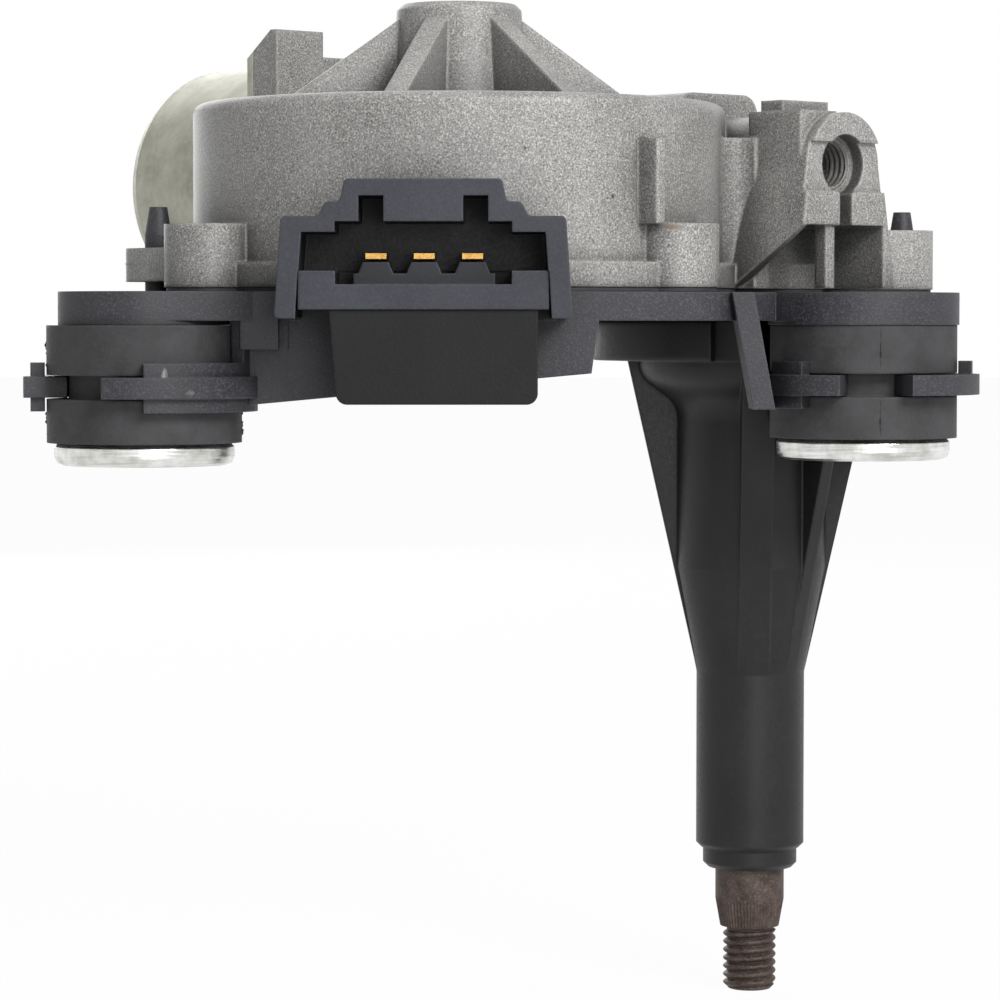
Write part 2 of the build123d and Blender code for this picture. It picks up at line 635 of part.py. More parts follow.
def park_contacts():
    """Three spring strips that rise from the plate to the contact ring."""
    strips = []
    tip_z = WHEEL_FOOT_Z - CONTACT_THICK - AIR_GAP
    for index in range(3):
        radius = CONTACT_INNER_R + 1.6 + 2.6 * index
        leg = slab((radius - 0.9, -1.0, PLATE_TOP_Z), (radius + 0.9, -0.5, tip_z))
        tip = slab((radius - 0.9, -0.5, tip_z - 0.5), (radius + 0.9, 5.0, tip_z))
        foot = slab((radius - 0.9, -0.5, PLATE_TOP_Z), (radius + 0.9, 4.0, PLATE_TOP_Z + 0.5))
        strips.append(Pos(GEAR_X, GEAR_Y) * (Rot(0, 0, GEAR_BEARING + 360.0) * (leg + tip + foot)))
    return strips


def wheel_axle():
    """Pin pressed up into the roof boss, on which the wheel turns."""
    return disc(GEAR_X, GEAR_Y, CLIP_FOOT_Z, ROOF_Z + ROOF_BOSS_HEIGHT - HOUSING_WALL, AXLE_R)


def axle_clip():
    """Retaining clip on the axle's lower end."""
    return pipe(GEAR_X, GEAR_Y, CLIP_FOOT_Z, CLIP_TOP_Z, CRANK_R - CRANK_BOSS_R - AIR_GAP, AXLE_R + SEAT_GAP)


def worm_thread():
    """Trapezoid thread wound round the shaft, in mesh at the wheel's middle."""
    turns = round(WORM_LENGTH / LEAD) - 1
    height = turns * LEAD
    path = Helix(LEAD, height, WORM_PITCH_R)
    bed = WORM_ROOT_R - 0.4
    corners = [(radius, 0, offset) for radius, offset in tooth_points(bed, WORM_TIP_R, WORM_PITCH_R)]
    section = make_face(Polyline(*corners, close=True))
    start = MESH_AT - height / 2.0 if turns % 2 == 0 else MESH_AT - height / 2.0 - LEAD / 2.0
    return Pos(0, 0, start) * sweep(section, path, is_frenet=True)


def armature_shaft():
    """Stepped shaft with the worm cut on it."""
    shaft = turned(
        (0, FRONT_BUSH_AT),
        (FRONT_JOURNAL_R, FRONT_BUSH_AT),
        (FRONT_JOURNAL_R, FRONT_BUSH_TO + 2),
        (WORM_ROOT_R, FRONT_BUSH_TO + 4),
        (WORM_ROOT_R, WORM_TO + 2),
        (MID_JOURNAL_R, MID_BUSH_AT - 3),
        (MID_JOURNAL_R, MID_BUSH_AT + BUSH_LENGTH + 2),
        (SHAFT_R, MID_BUSH_AT + BUSH_LENGTH + 3),
        (SHAFT_R, STACK_AT + STACK_LENGTH + 4),
        (REAR_JOURNAL_R, STACK_AT + STACK_LENGTH + 5),
        (REAR_JOURNAL_R, CAN_TO + CAN_CUP_DEPTH - CAN_WALL - AIR_GAP),
        (0, CAN_TO + CAN_CUP_DEPTH - CAN_WALL - AIR_GAP),
    )
    return WORM_FRAME * (shaft + worm_thread())


def lamination_stack():
    """Slotted iron core of the armature."""
    core = Circle(STACK_R) - Circle(SHAFT_R + SEAT_GAP)
    slot = Pos(STACK_R, 0) * Rectangle(2 * CORE_SLOT_DEPTH, CORE_SLOT_WIDTH)
    for index in range(COMMUTATOR_BARS):
        core -= Rot(0, 0, index * 360.0 / COMMUTATOR_BARS) * slot
    return WORM_FRAME * (Pos(0, 0, STACK_AT) * extrude(core, STACK_LENGTH))


def end_windings():
    """Rounded copper end turns on both sides of the core."""
    inner = SHAFT_R + 1.2
    depth = 4.5
    profile = make_face(Polyline(
        (inner, 0),
        (STACK_R - 1.2, 0),
        (STACK_R - 2.4, depth - 1.5),
        (STACK_R - 4.0, depth),
        (inner, depth),
        close=True,
    ))
    ring = revolve(Plane.XZ * profile, Axis.Z)
    far = Pos(0, 0, STACK_AT + STACK_LENGTH) * ring
    near = Pos(0, 0, STACK_AT) * (Rot(180, 0, 0) * ring)
    return [WORM_FRAME * near, WORM_FRAME * far]


def commutator():
    """Copper commutator with its slots between bars."""
    ring = Circle(COMMUTATOR_R) - Circle(SHAFT_R + SEAT_GAP)
    slot = Pos(COMMUTATOR_R, 0) * Rectangle(3.0, 0.6)
    for index in range(COMMUTATOR_BARS):
        ring -= Rot(0, 0, index * 360.0 / COMMUTATOR_BARS) * slot
    return WORM_FRAME * (Pos(0, 0, COMMUTATOR_AT) * extrude(ring, COMMUTATOR_LENGTH))


def shaft_bush(start, journal):
    """Sintered bush on the worm axis."""
    return rod(start, start + BUSH_LENGTH, journal + RUNNING_GAP + BUSH_WALL, journal + RUNNING_GAP)


def rear_bush():
    """Sintered bush in the can's bearing cup."""
    start = CAN_TO - CAN_WALL
    end = CAN_TO + CAN_CUP_DEPTH - CAN_WALL
    return rod(start, end, CAN_CUP_R - CAN_WALL - SEAT_GAP, REAR_JOURNAL_R + RUNNING_GAP)


def thrust_screw():
    """Adjusting screw that bears on the shaft's front end."""
    screw = rod(THRUST_SCREW_AT, FRONT_BUSH_AT - AIR_GAP, THRUST_HOLE_R - SEAT_GAP)
    half = DRIVER_NICK_WIDTH / 2.0
    nick_to = THRUST_SCREW_AT + DRIVER_NICK_DEPTH
    nick = slab((-THRUST_HOLE_R, -half, THRUST_SCREW_AT - 1), (THRUST_HOLE_R, half, nick_to))
    return screw - WORM_FRAME * nick


def ear_outline():
    """Screw ear of the motor flange, with the lower step beside it."""
    return make_face(Polyline(
        (0, 0),
        (EAR_FAR, EAR_FOOT),
        (EAR_FAR, EAR_TOP),
        (EAR_NEAR, EAR_TOP),
        (EAR_NEAR, EAR_STEP_TOP),
        (EAR_STEP_NEAR, EAR_STEP_TOP),
        close=True,
    ))


def ear_bevel():
    """Wedge cut from the back of an ear's top."""
    start = MOTOR_FLANGE_AT + EAR_BEVEL_FROM
    end = CAN_FROM + CAN_FLANGE_THICK + 1
    low = EAR_TOP - EAR_BEVEL_DROP
    wedge = make_face(Polyline(
        (EAR_TOP, start),
        (EAR_TOP + 1, start),
        (EAR_TOP + 1, end),
        (low, end),
        close=True,
    ))
    return Pos(EAR_STEP_NEAR, 0, 0) * extrude(Plane.YZ * wedge, EAR_FAR)


def motor_flange(start, thick, radius):
    """Round flange with two opposite screw ears, along the worm axis."""
    outline = Circle(radius) + ear_outline() + Rot(0, 0, 180) * ear_outline()
    flange = Pos(0, 0, start) * extrude(outline, thick)
    bevel = ear_bevel()
    return WORM_FRAME * (flange - bevel - Rot(0, 0, 180) * bevel)


def motor_screw_set(start, end, radius):
    """Pair of cylinders on the screw ears' axes."""
    shanks = []
    for turn in (0, 180):
        shank = Pos(*MOTOR_SCREW_AT, start) * extrude(Circle(radius), end - start)
        shanks.append(WORM_FRAME * (Rot(0, 0, turn) * shank))
    return shanks


def motor_can():
    """Drawn steel can with a bearing cup in its closed end and a flange at its mouth."""
    inner = CAN_R - CAN_WALL
    cup_inner = CAN_CUP_R - CAN_WALL
    cup_to = CAN_TO + CAN_CUP_DEPTH
    corner = 3.0
    shell = turned(
        (inner, CAN_FROM),
        (CAN_R, CAN_FROM),
        (CAN_R, CAN_TO - corner),
        (CAN_R - corner * 0.3, CAN_TO - corner * 0.3),
        (CAN_R - corner, CAN_TO),
        (CAN_CUP_R, CAN_TO),
        (CAN_CUP_R, cup_to),
        (0, cup_to),
        (0, cup_to - CAN_WALL),
        (cup_inner, cup_to - CAN_WALL),
        (cup_inner, CAN_TO - CAN_WALL),
        (inner - corner, CAN_TO - CAN_WALL),
        (inner - corner * 0.3, CAN_TO - CAN_WALL - corner * 0.3),
        (inner, CAN_TO - CAN_WALL - corner),
    )
    flange = motor_flange(CAN_FROM, CAN_FLANGE_THICK, MOTOR_FLANGE_R)
    flange -= rod(CAN_FROM - 1, CAN_FROM + CAN_FLANGE_THICK + 1, inner)
    can = WORM_FRAME * shell + flange
    for hole in motor_screw_set(CAN_FROM - 1, CAN_FROM + CAN_FLANGE_THICK + 1, MOTOR_SCREW_R + SEAT_GAP):
        can -= hole
    return can


def field_magnets():
    """Two curved ferrite magnets inside the can."""
    outer = CAN_R - CAN_WALL - SEAT_GAP
    profile = Plane.XZ * Pos(outer - MAGNET_THICK / 2.0, 0) * Rectangle(MAGNET_THICK, STACK_LENGTH)
    arc = Pos(0, 0, STACK_AT + STACK_LENGTH / 2.0) * revolve(profile, Axis.Z, MAGNET_SPAN)
    start = (180.0 - MAGNET_SPAN) / 2.0
    return [WORM_FRAME * (Rot(0, 0, start + turn) * arc) for turn in (0, 180)]


BRUSH_BORE_R = BRUSH_CHAMBER_R - BRUSH_CHAMBER_WALL
BRUSH_PLATE_AT = COMMUTATOR_AT + COMMUTATOR_LENGTH - 1.0
BRUSH_WIDTH = 5.0
BRUSH_HEIGHT = 6.0
BRUSH_LENGTH = 4.2
SPRING_THICK = 0.4
SPRING_TAIL = 3.0


def brush_plate():
    """Insulating ring that carries the brushes."""
    return rod(BRUSH_PLATE_AT, BRUSH_PLATE_AT + 2.0, BRUSH_BORE_R - SEAT_GAP, COMMUTATOR_R + AIR_GAP)


def carbon_brushes():
    """Two carbon blocks that bear on the commutator from opposite sides."""
    near = COMMUTATOR_R + AIR_GAP
    block = slab(
        (near, -BRUSH_WIDTH / 2.0, BRUSH_PLATE_AT - BRUSH_HEIGHT),
        (near + BRUSH_LENGTH, BRUSH_WIDTH / 2.0, BRUSH_PLATE_AT),
    )
    return [WORM_FRAME * (Rot(0, 0, turn) * block) for turn in (0, 180)]


def brush_springs():
    """Leaf springs that press the brushes inwards."""
    far = COMMUTATOR_R + AIR_GAP + BRUSH_LENGTH
    low = BRUSH_PLATE_AT - BRUSH_HEIGHT + 1.0
    tail = BRUSH_WIDTH / 2.0 + SPRING_TAIL
    leaf = slab((far, -BRUSH_WIDTH / 2.0, low), (far + SPRING_THICK, tail, BRUSH_PLATE_AT))
    return [WORM_FRAME * (Rot(0, 0, turn) * leaf) for turn in (0, 180)]


def chamber_outline(extra):
    """Plan of the space round the wheel and of the lever's and the rod's sweep, grown by a wall."""
    eye = LINK_EYE_R + SWEEP_ROOM + extra
    step = SWEEP_DEG / SWEEP_STEPS
    pins = [polar(LEVER_LENGTH, REST_BEARING + index * step) for index in range(SWEEP_STEPS + 1)]
    swept = hull_of(
        (GEAR_X, GEAR_Y, CRANK_R + eye),
        (0, 0, LEVER_HUB_R + SWEEP_ROOM + extra),
        *[(*pin, eye) for pin in pins],
    )
    return swept + Pos(GEAR_X, GEAR_Y) * Circle(DRUM_R - HOUSING_WALL + extra)


def screw_places():
    """Plan places of the four housing screws."""
    return LEFT_SCREW, FRONT_SCREW, BACK_SCREW, RIGHT_SCREW


def tunnel_end():
    """Arched end of the worm tunnel, with jaws over an open recess."""
    foot = HOUSING_FOOT_Z - WORM_Z
    arch = Circle(TUNNEL_ARCH_R) + make_face(Polyline(
        (-TUNNEL_ARCH_R, 0),
        (-TUNNEL_FOOT_HALF, foot),
        (TUNNEL_FOOT_HALF, foot),
        (TUNNEL_ARCH_R, 0),
        close=True,
    ))
    block = extrude(arch, TUNNEL_START + 1)
    step = slab((-TUNNEL_FOOT_HALF, JAW_TOP, -1), (TUNNEL_FOOT_HALF, ARCH_CAP_FOOT, FACE_STEP))
    window = make_face(Polyline((foot, -1), (-JAW_DROP, -1), (-JAW_DROP, 0), (foot, RECESS_DEPTH), close=True))
    window_solid = extrude(Plane.YZ * window, TUNNEL_FOOT_HALF + 1)
    recess = slab((-RECESS_HALF, foot - 1, -1), (RECESS_HALF, -JAW_DROP, RECESS_DEPTH))
    rib_left = RECESS_RIB_AT - RECESS_RIB_THICK / 2.0
    rib = slab((rib_left, foot, RECESS_RIB_FROM), (rib_left + RECESS_RIB_THICK, -JAW_DROP, RECESS_RIB_TO))
    pad = slab((PAD_LEFT, 0, PAD_FROM), (PAD_RIGHT, TUNNEL_ARCH_R + PAD_RISE, PAD_TO))
    plateau = slab((0, 0, PLATEAU_FROM), (TUNNEL_ARCH_R, TUNNEL_ARCH_R + PLATEAU_RISE, PLATEAU_TO))
    return WORM_FRAME * (block - step - window_solid - recess + rib + pad + plateau) + drum_corner()


def drum_corner():
    """Rounded inside corner where the drum's wall meets the tunnel's side."""
    side = RECESS_HALF
    across = CENTRE_DISTANCE - side - DRUM_FILLET
    reach = DRUM_R + DRUM_FILLET
    centre_x = side + DRUM_FILLET
    centre_z = MESH_AT - sqrt(reach**2 - across**2)
    touch_x = centre_x + DRUM_FILLET * across / reach
    touch_z = centre_z + DRUM_FILLET * (MESH_AT - centre_z) / reach
    inside_x = side - DRUM_FILLET
    inside_z = touch_z + DRUM_R / 4.0
    corner = make_face(Polyline(
        (centre_z, side), (centre_z, inside_x), (inside_z, inside_x), (touch_z, touch_x), close=True,
    ))
    corner -= Pos(centre_z, centre_x) * Circle(DRUM_FILLET)
    foot = HOUSING_FOOT_Z - WORM_Z
    return WORM_FRAME * (Pos(0, foot, 0) * extrude(Plane.ZX * corner, DRUM_FILLET_TOP - foot))


def tunnel():
    """Raised back of the worm tunnel, its flare and the brush chamber with the motor flange."""
    foot = HOUSING_FOOT_Z - WORM_Z
    length = MID_BUSH_AT + BUSH_LENGTH - TUNNEL_START
    ridge = slab((-TUNNEL_HALF, foot, TUNNEL_START), (TUNNEL_HALF, TUNNEL_TOP, TUNNEL_START + length))
    ridge = fillet(ridge.edges().filter_by(Axis.Z).group_by(Axis.Y)[-1], TUNNEL_FILLET)
    flare_from = MID_BUSH_AT
    flare = turned(
        (0, flare_from),
        (TUNNEL_HALF + 2.0, flare_from),
        (BRUSH_CHAMBER_R, COMMUTATOR_AT - 4.0 - BRUSH_CHAMBER_WALL),
        (BRUSH_CHAMBER_R, MOTOR_FLANGE_AT),
        (0, MOTOR_FLANGE_AT),
    )
    return WORM_FRAME * (ridge + flare) + motor_flange(MOTOR_FLANGE_AT, MOTOR_FLANGE_THICK, MOTOR_FLANGE_R)


def roof():
    """Central boss on the drum's roof with its radial ribs."""
    top = ROOF_Z + ROOF_BOSS_HEIGHT
    boss = turned(
        (0, ROOF_Z - 1),
        (ROOF_BOSS_FOOT_R, ROOF_Z - 1),
        (ROOF_BOSS_TOP_R, top - ROOF_BOSS_CHAMFER),
        (ROOF_BOSS_TOP_R - ROOF_BOSS_CHAMFER, top),
        (0, top),
    )
    rib = fin(
        ROOF_RIB_THICK,
        (0, ROOF_Z - 1),
        (ROOF_RIB_REACH, ROOF_Z - 1),
        (ROOF_RIB_REACH, ROOF_Z),
        (ROOF_BOSS_TOP_R, top - ROOF_RIB_DROP),
        (0, top - ROOF_RIB_DROP),
    )
    for index in range(ROOF_RIB_COUNT):
        boss += Rot(0, 0, ROOF_RIB_FIRST + index * 360.0 / ROOF_RIB_COUNT) * rib
    return Pos(GEAR_X, GEAR_Y) * boss


def right_ear(radius):
    """Plan of the ear that holds the right peg."""
    return hull_of((*RIGHT_PEG, radius), (0, 0, radius))


def gear_housing():
    """Die-cast housing: drum, lever chamber, worm tunnel, motor flange and bosses."""
    drum = disc(GEAR_X, GEAR_Y, HOUSING_FOOT_Z, ROOF_Z, DRUM_R)
    drum = fillet(drum.edges().group_by(Axis.Z)[-1], RIM_FILLET)
    body = drum + raised(chamber_outline(HOUSING_WALL), HOUSING_FOOT_Z, CHAMBER_TOP_Z + HOUSING_WALL)
    body += raised(chamber_outline(HOUSING_WALL + FLANGE_WIDTH), HOUSING_FOOT_Z, HOUSING_FOOT_Z + FLANGE_THICK)
    body += tunnel_end()
    body += tunnel()
    body += roof()
    for x, y in screw_places():
        body += disc(x, y, HOUSING_FOOT_Z, HOUSING_FOOT_Z + SCREW_BOSS_HEIGHT, SCREW_BOSS_R)
    ear_foot = HOUSING_FOOT_Z + EAR_LIFT
    body += raised(hull_of((*LEFT_PEG, EAR_R), (*LEFT_SCREW, EAR_R)), ear_foot, ear_foot + EAR_THICK)
    body += raised(right_ear(EAR_R), HOUSING_FOOT_Z, HOUSING_FOOT_Z + SCREW_BOSS_HEIGHT)
    return body - housing_hollow()


def housing_hollow():
    """Everything that is cut out of the gear housing."""
    low = HOUSING_FOOT_Z - 1
    inside = raised(chamber_outline(0), low, CHAMBER_TOP_Z)
    inside += disc(GEAR_X, GEAR_Y, low, ROOF_Z - HOUSING_WALL, DRUM_R - HOUSING_WALL)
    inside += rod(FRONT_BUSH_TO, MID_BUSH_AT, WORM_TIP_R + 0.9)
    bush_r = FRONT_JOURNAL_R + RUNNING_GAP + BUSH_WALL + SEAT_GAP
    inside -= rod(0, FRONT_BUSH_TO, bush_r + HOUSING_WALL)
    inside += rod(FRONT_BUSH_AT, FRONT_BUSH_TO + 1, bush_r)
    inside += rod(-1, FRONT_BUSH_AT + 1, THRUST_HOLE_R)
    inside += rod(-1, THRUST_COUNTERBORE_DEPTH, THRUST_COUNTERBORE_R)
    inside += WORM_FRAME * slab(
        (-KEY_SLOT_WIDTH / 2.0, -JAW_DROP - 1, -1), (KEY_SLOT_WIDTH / 2.0, 0, THRUST_COUNTERBORE_DEPTH),
    )
    mid_r = MID_JOURNAL_R + RUNNING_GAP + BUSH_WALL + SEAT_GAP
    inside += rod(MID_BUSH_AT, COMMUTATOR_AT, mid_r)
    inside += rod(COMMUTATOR_AT - 2.0, CAN_FROM + 1, BRUSH_BORE_R)
    inside += disc(GEAR_X, GEAR_Y, low, ROOF_Z + ROOF_BOSS_HEIGHT - HOUSING_WALL, AXLE_R + SEAT_GAP)
    for x, y in screw_places():
        inside += disc(x, y, low, HOUSING_FOOT_Z + SCREW_LENGTH - PLATE_THICK, SCREW_R + SEAT_GAP)
    for x, y in (LEFT_PEG, RIGHT_PEG):
        inside += disc(x, y, low, HOUSING_FOOT_Z + SCREW_BOSS_HEIGHT + 1, PEG_R + AIR_GAP)
    for hole in motor_screw_set(MOTOR_FLANGE_AT + MOTOR_SCREW_COVER, CAN_FROM + 1, MOTOR_SCREW_R + SEAT_GAP):
        inside += hole
    return inside + driver_slot()


def driver_slot():
    """Upright slot in the drum's wall above the front screw boss."""
    foot = HOUSING_FOOT_Z + SCREW_BOSS_HEIGHT
    slot = slab(
        (DRUM_R - DRIVER_SLOT_DEPTH, -DRIVER_SLOT_WIDTH / 2.0, foot),
        (DRUM_R + DRIVER_SLOT_DEPTH, DRIVER_SLOT_WIDTH / 2.0, foot + DRIVER_SLOT_HEIGHT),
    )
    return Pos(GEAR_X, GEAR_Y) * (Rot(0, 0, DRIVER_SLOT_BEARING) * slot)


def bush_places():
    """Each mount: centre, cap radius, clip mouth, then bands, upper tabs and web by bearing and span."""
    return {
        "left": (LEFT_BUSH, LEFT_CAP_R, (196.0, 255.0), [(275.0, 70.0), (180.0, 12.0)], [], (335.0, 60.0)),
        "right": (RIGHT_BUSH, RIGHT_CAP_R, (253.0, 289.0), [(209.0, 22.0)], [(344.0, 12.0)], (25.0, 120.0)),
        "rear": (REAR_BUSH, REAR_CAP_R, (62.0, 118.0), [(40.0, 14.0), (126.0, 14.0)], [], (200.0, 120.0)),
    }


def plate_outline():
    """Plan of the carrier plate."""
    front = (*FRONT_SCREW, SCREW_BOSS_R + PLATE_RIM)
    middle = (GEAR_X, GEAR_Y, PLATE_GEAR_R - LEFT_CAP_R)
    outline = hull_of((GEAR_X, GEAR_Y, PLATE_GEAR_R), (0, 0, PLATE_SPINDLE_R), front)
    outline += hull_of((*LEFT_BUSH, LEFT_CAP_R), (*LEFT_SCREW, LEFT_CAP_R), middle)
    outline += hull_of((*RIGHT_BUSH, RIGHT_CAP_R), (0, 0, PLATE_SPINDLE_R))
    outline += hull_of((*REAR_BUSH, REAR_CAP_R), (0, 0, PLATE_SPINDLE_R))
    outline += make_face(Polyline(
        (SKIRT_LEFT_X, SKIRT_FRONT),
        (SKIRT_RIGHT_X, SKIRT_FRONT),
        (SKIRT_RIGHT_X, GEAR_Y),
        (SKIRT_LEFT_X, GEAR_Y),
        close=True,
    ))
    for x, y in (LEFT_PEG, RIGHT_PEG):
        outline += Pos(x, y) * Circle(PLATE_EAR_R)
    for x, y in screw_places():
        outline += Pos(x, y) * Circle(SCREW_BOSS_R + PLATE_RIM / 2.0)
    return outline


def clip_eye(centre, mouth, bands, tabs, web):
    """Split eye that snaps into a grommet's groove, with outer bands and a web up to the plate."""
    mouth_from, mouth_to = mouth
    span = 360.0 - (mouth_to - mouth_from)
    eye = sector(*centre, EYE_FOOT_Z, EYE_TOP_Z, CLIP_EYE_R, GROOVE_R + AIR_GAP, mouth_to, span)
    for band in (*bands, web):
        eye += sector(*centre, BAND_FOOT_Z, EYE_FOOT_Z, CLIP_OUTER_R, CLIP_BAND_R, *band)
    for band in (*bands, *tabs):
        eye += sector(*centre, EYE_TOP_Z, BAND_TOP_Z, CLIP_OUTER_R, CLIP_BAND_R, *band)
    return eye + sector(*centre, EYE_TOP_Z, PLATE_FOOT_Z, CLIP_OUTER_R, CLIP_BAND_R, *web)


def clip_strut():
    """Slanted strap from the plate's edge down to the right clip's band."""
    foot_x = RIGHT_BUSH[0] - CLIP_OUTER_R - STRUT_STAND
    profile = make_face(Polyline(
        (foot_x - STRUT_SLANT, PLATE_TOP_Z),
        (foot_x - STRUT_SLANT + STRUT_WIDTH, PLATE_TOP_Z),
        (foot_x + STRUT_WIDTH, BAND_FOOT_Z),
        (foot_x, BAND_FOOT_Z),
        close=True,
    ))
    front = RIGHT_BUSH[1] - CLIP_BAND_R - STRUT_STAND
    strap = Pos(0, front, 0) * extrude(Plane.XZ * profile, -STRUT_DEPTH)
    return strap - disc(*RIGHT_BUSH, BAND_FOOT_Z - 1, CAP_FOOT_Z, CLIP_BAND_R)


def skirt():
    """Wall under the plate's front edge, from the left clip past the connector, with a ledge at its left."""
    wall = make_face(Polyline(
        (SKIRT_LEFT_X, PLATE_TOP_Z),
        (SKIRT_RIGHT_X, PLATE_TOP_Z),
        (SKIRT_RIGHT_X, PLATE_FOOT_Z),
        (SKIRT_RIGHT_X - SKIRT_SLANT, PLATE_FOOT_Z - SKIRT_RIGHT_DROP),
        (SKIRT_LEFT_X, PLATE_FOOT_Z - SKIRT_LEFT_DROP),
        close=True,
    ))
    ledge = slab(
        (SKIRT_LEFT_X, SKIRT_FRONT - LEDGE_DEPTH, PLATE_FOOT_Z - LEDGE_DROP),
        (CONNECTOR_X - HOOD_HALF, SKIRT_FRONT + SKIRT_WALL, PLATE_TOP_Z),
    )
    return Pos(0, SKIRT_FRONT, 0) * extrude(Plane.XZ * wall, -SKIRT_WALL) + ledge


def peg():
    """Locating peg with a tapered tip."""
    top = PLATE_TOP_Z + PEG_HEIGHT
    return turned(
        (0, PLATE_FOOT_Z),
        (PEG_R, PLATE_FOOT_Z),
        (PEG_R, top - PEG_TAPER_HEIGHT),
        (PEG_R - PEG_TAPER, top),
        (0, top),
    )


def carrier_plate():
    """Moulded plate that closes the gear housing and carries the clip eyes."""
    plate = raised(plate_outline(), PLATE_FOOT_Z, PLATE_TOP_Z)
    for centre, cap_r, mouth, bands, tabs, web in bush_places().values():
        plate += disc(*centre, CAP_FOOT_Z, PLATE_TOP_Z, cap_r)
        plate += clip_eye(centre, mouth, bands, tabs, web)
    plate += clip_strut()
    plate += skirt()
    for x, y in (LEFT_PEG, RIGHT_PEG):
        plate += Pos(x, y) * peg()
    for centre in (LEFT_BUSH, RIGHT_BUSH, REAR_BUSH):
        plate -= disc(*centre, CAP_FOOT_Z - 1, PLATE_TOP_Z + 1, BOLT_ACCESS_R)
    plate -= disc(0, 0, PLATE_FOOT_Z - 1, PLATE_TOP_Z + 1, SPINDLE_HOLE_R)
    for x, y in screw_places():
        plate -= disc(x, y, PLATE_FOOT_Z - 1, PLATE_TOP_Z + 1, SCREW_R + AIR_GAP)
        plate -= disc(x, y, PLATE_FOOT_Z - 1, HEAD_SEAT_Z, SCREW_HEAD_R + AIR_GAP)
    notch_half = HOOD_HALF + HOOD_SPLAY + AIR_GAP
    return plate - slab(
        (CONNECTOR_X - notch_half, CONNECTOR_FRONT, BLOCK_FOOT_Z),
        (CONNECTOR_X + notch_half, HOUSING_FRONT, PLATE_TOP_Z + 1),
    )


def housing_gasket():
    """Flat seal between the plate and the housing's whole foot."""
    outline = chamber_outline(HOUSING_WALL + FLANGE_WIDTH - AIR_GAP) + right_ear(EAR_R - AIR_GAP)
    for x, y in screw_places():
        outline += Pos(x, y) * Circle(SCREW_BOSS_R - AIR_GAP)
    outline -= chamber_outline(0)
    for x, y in screw_places():
        outline -= Pos(x, y) * Circle(SCREW_R + AIR_GAP)
    for x, y in (LEFT_PEG, RIGHT_PEG):
        outline -= Pos(x, y) * Circle(PEG_R + AIR_GAP)
    return raised(outline, PLATE_TOP_Z, HOUSING_FOOT_Z)


def grommet(x, y):
    """Rubber grommet with a groove for its clip."""
    bore = SLEEVE_R + SEAT_GAP
    return Pos(x, y) * turned(
        (bore, RUBBER_FOOT_Z),
        (RUBBER_R, RUBBER_FOOT_Z),
        (RUBBER_R, GROOVE_FOOT_Z),
        (GROOVE_R, GROOVE_FOOT_Z),
        (GROOVE_R, GROOVE_TOP_Z),
        (RUBBER_R, GROOVE_TOP_Z),
        (RUBBER_R, RUBBER_TOP_Z),
        (bore, RUBBER_TOP_Z),
    )


def sleeve(x, y):
    """Steel sleeve with a rounded foot flange."""
    soft = SLEEVE_ROUNDING
    return Pos(x, y) * turned(
        (SLEEVE_BORE_R, SLEEVE_FOOT_Z),
        (SLEEVE_FLANGE_R - soft, SLEEVE_FOOT_Z),
        (SLEEVE_FLANGE_R - soft * 0.3, SLEEVE_FOOT_Z + soft * 0.3),
        (SLEEVE_FLANGE_R, SLEEVE_FOOT_Z + soft),
        (SLEEVE_FLANGE_R, RUBBER_FOOT_Z - soft * 0.5),
        (SLEEVE_FLANGE_R - soft * 0.5, RUBBER_FOOT_Z),
        (SLEEVE_R, RUBBER_FOOT_Z),
        (SLEEVE_R, RUBBER_TOP_Z + AIR_GAP),
        (SLEEVE_BORE_R, RUBBER_TOP_Z + AIR_GAP),
    )


def housing_screws():
    """Four screws up through the plate into the housing's bosses."""
    screws = []
    for x, y in screw_places():
        shank = disc(x, y, PLATE_FOOT_Z, PLATE_FOOT_Z + SCREW_LENGTH, SCREW_R)
        screws.append(shank + disc(x, y, PLATE_FOOT_Z, HEAD_SEAT_Z, SCREW_HEAD_R))
    return screws


def motor_screws():
    """Two screws from the can's ears into the housing."""
    head_at = CAN_FROM + CAN_FLANGE_THICK
    shanks = motor_screw_set(MOTOR_FLANGE_AT + MOTOR_SCREW_COVER + SEAT_GAP, head_at, MOTOR_SCREW_R)
    heads = motor_screw_set(head_at, head_at + SCREW_HEAD_HEIGHT, SCREW_HEAD_R)
    return [shank + head for shank, head in zip(shanks, heads)]


def connector_prism(outline, start, end):
    """Front outline in X and Z, extruded back from the connector's front."""
    return CONNECTOR_PLANE * (Pos(0, 0, -end) * extrude(outline, end - start))


def hood_outline():
    """Stepped front outline of the hood, with legs that splay a little."""
    right = [
        (HOOD_TOP_HALF, HOOD_TOP_Z),
        (HOOD_TOP_HALF + HOOD_TOP_SLOPE, HOOD_STEP_Z),
        (HOOD_STEP_HALF, HOOD_STEP_Z),
        (HOOD_STEP_HALF + HOOD_STEP_SLOPE, HOOD_SHOULDER_Z),
        (HOOD_HALF, HOOD_SHOULDER_Z),
        (HOOD_HALF + HOOD_SPLAY, HOOD_FOOT_Z),
    ]
    left = [(-x, z) for x, z in reversed(right)]
    outer = make_face(Polyline(*right, *left, close=True))
    return fillet(outer.vertices(), HOOD_CORNER_R)


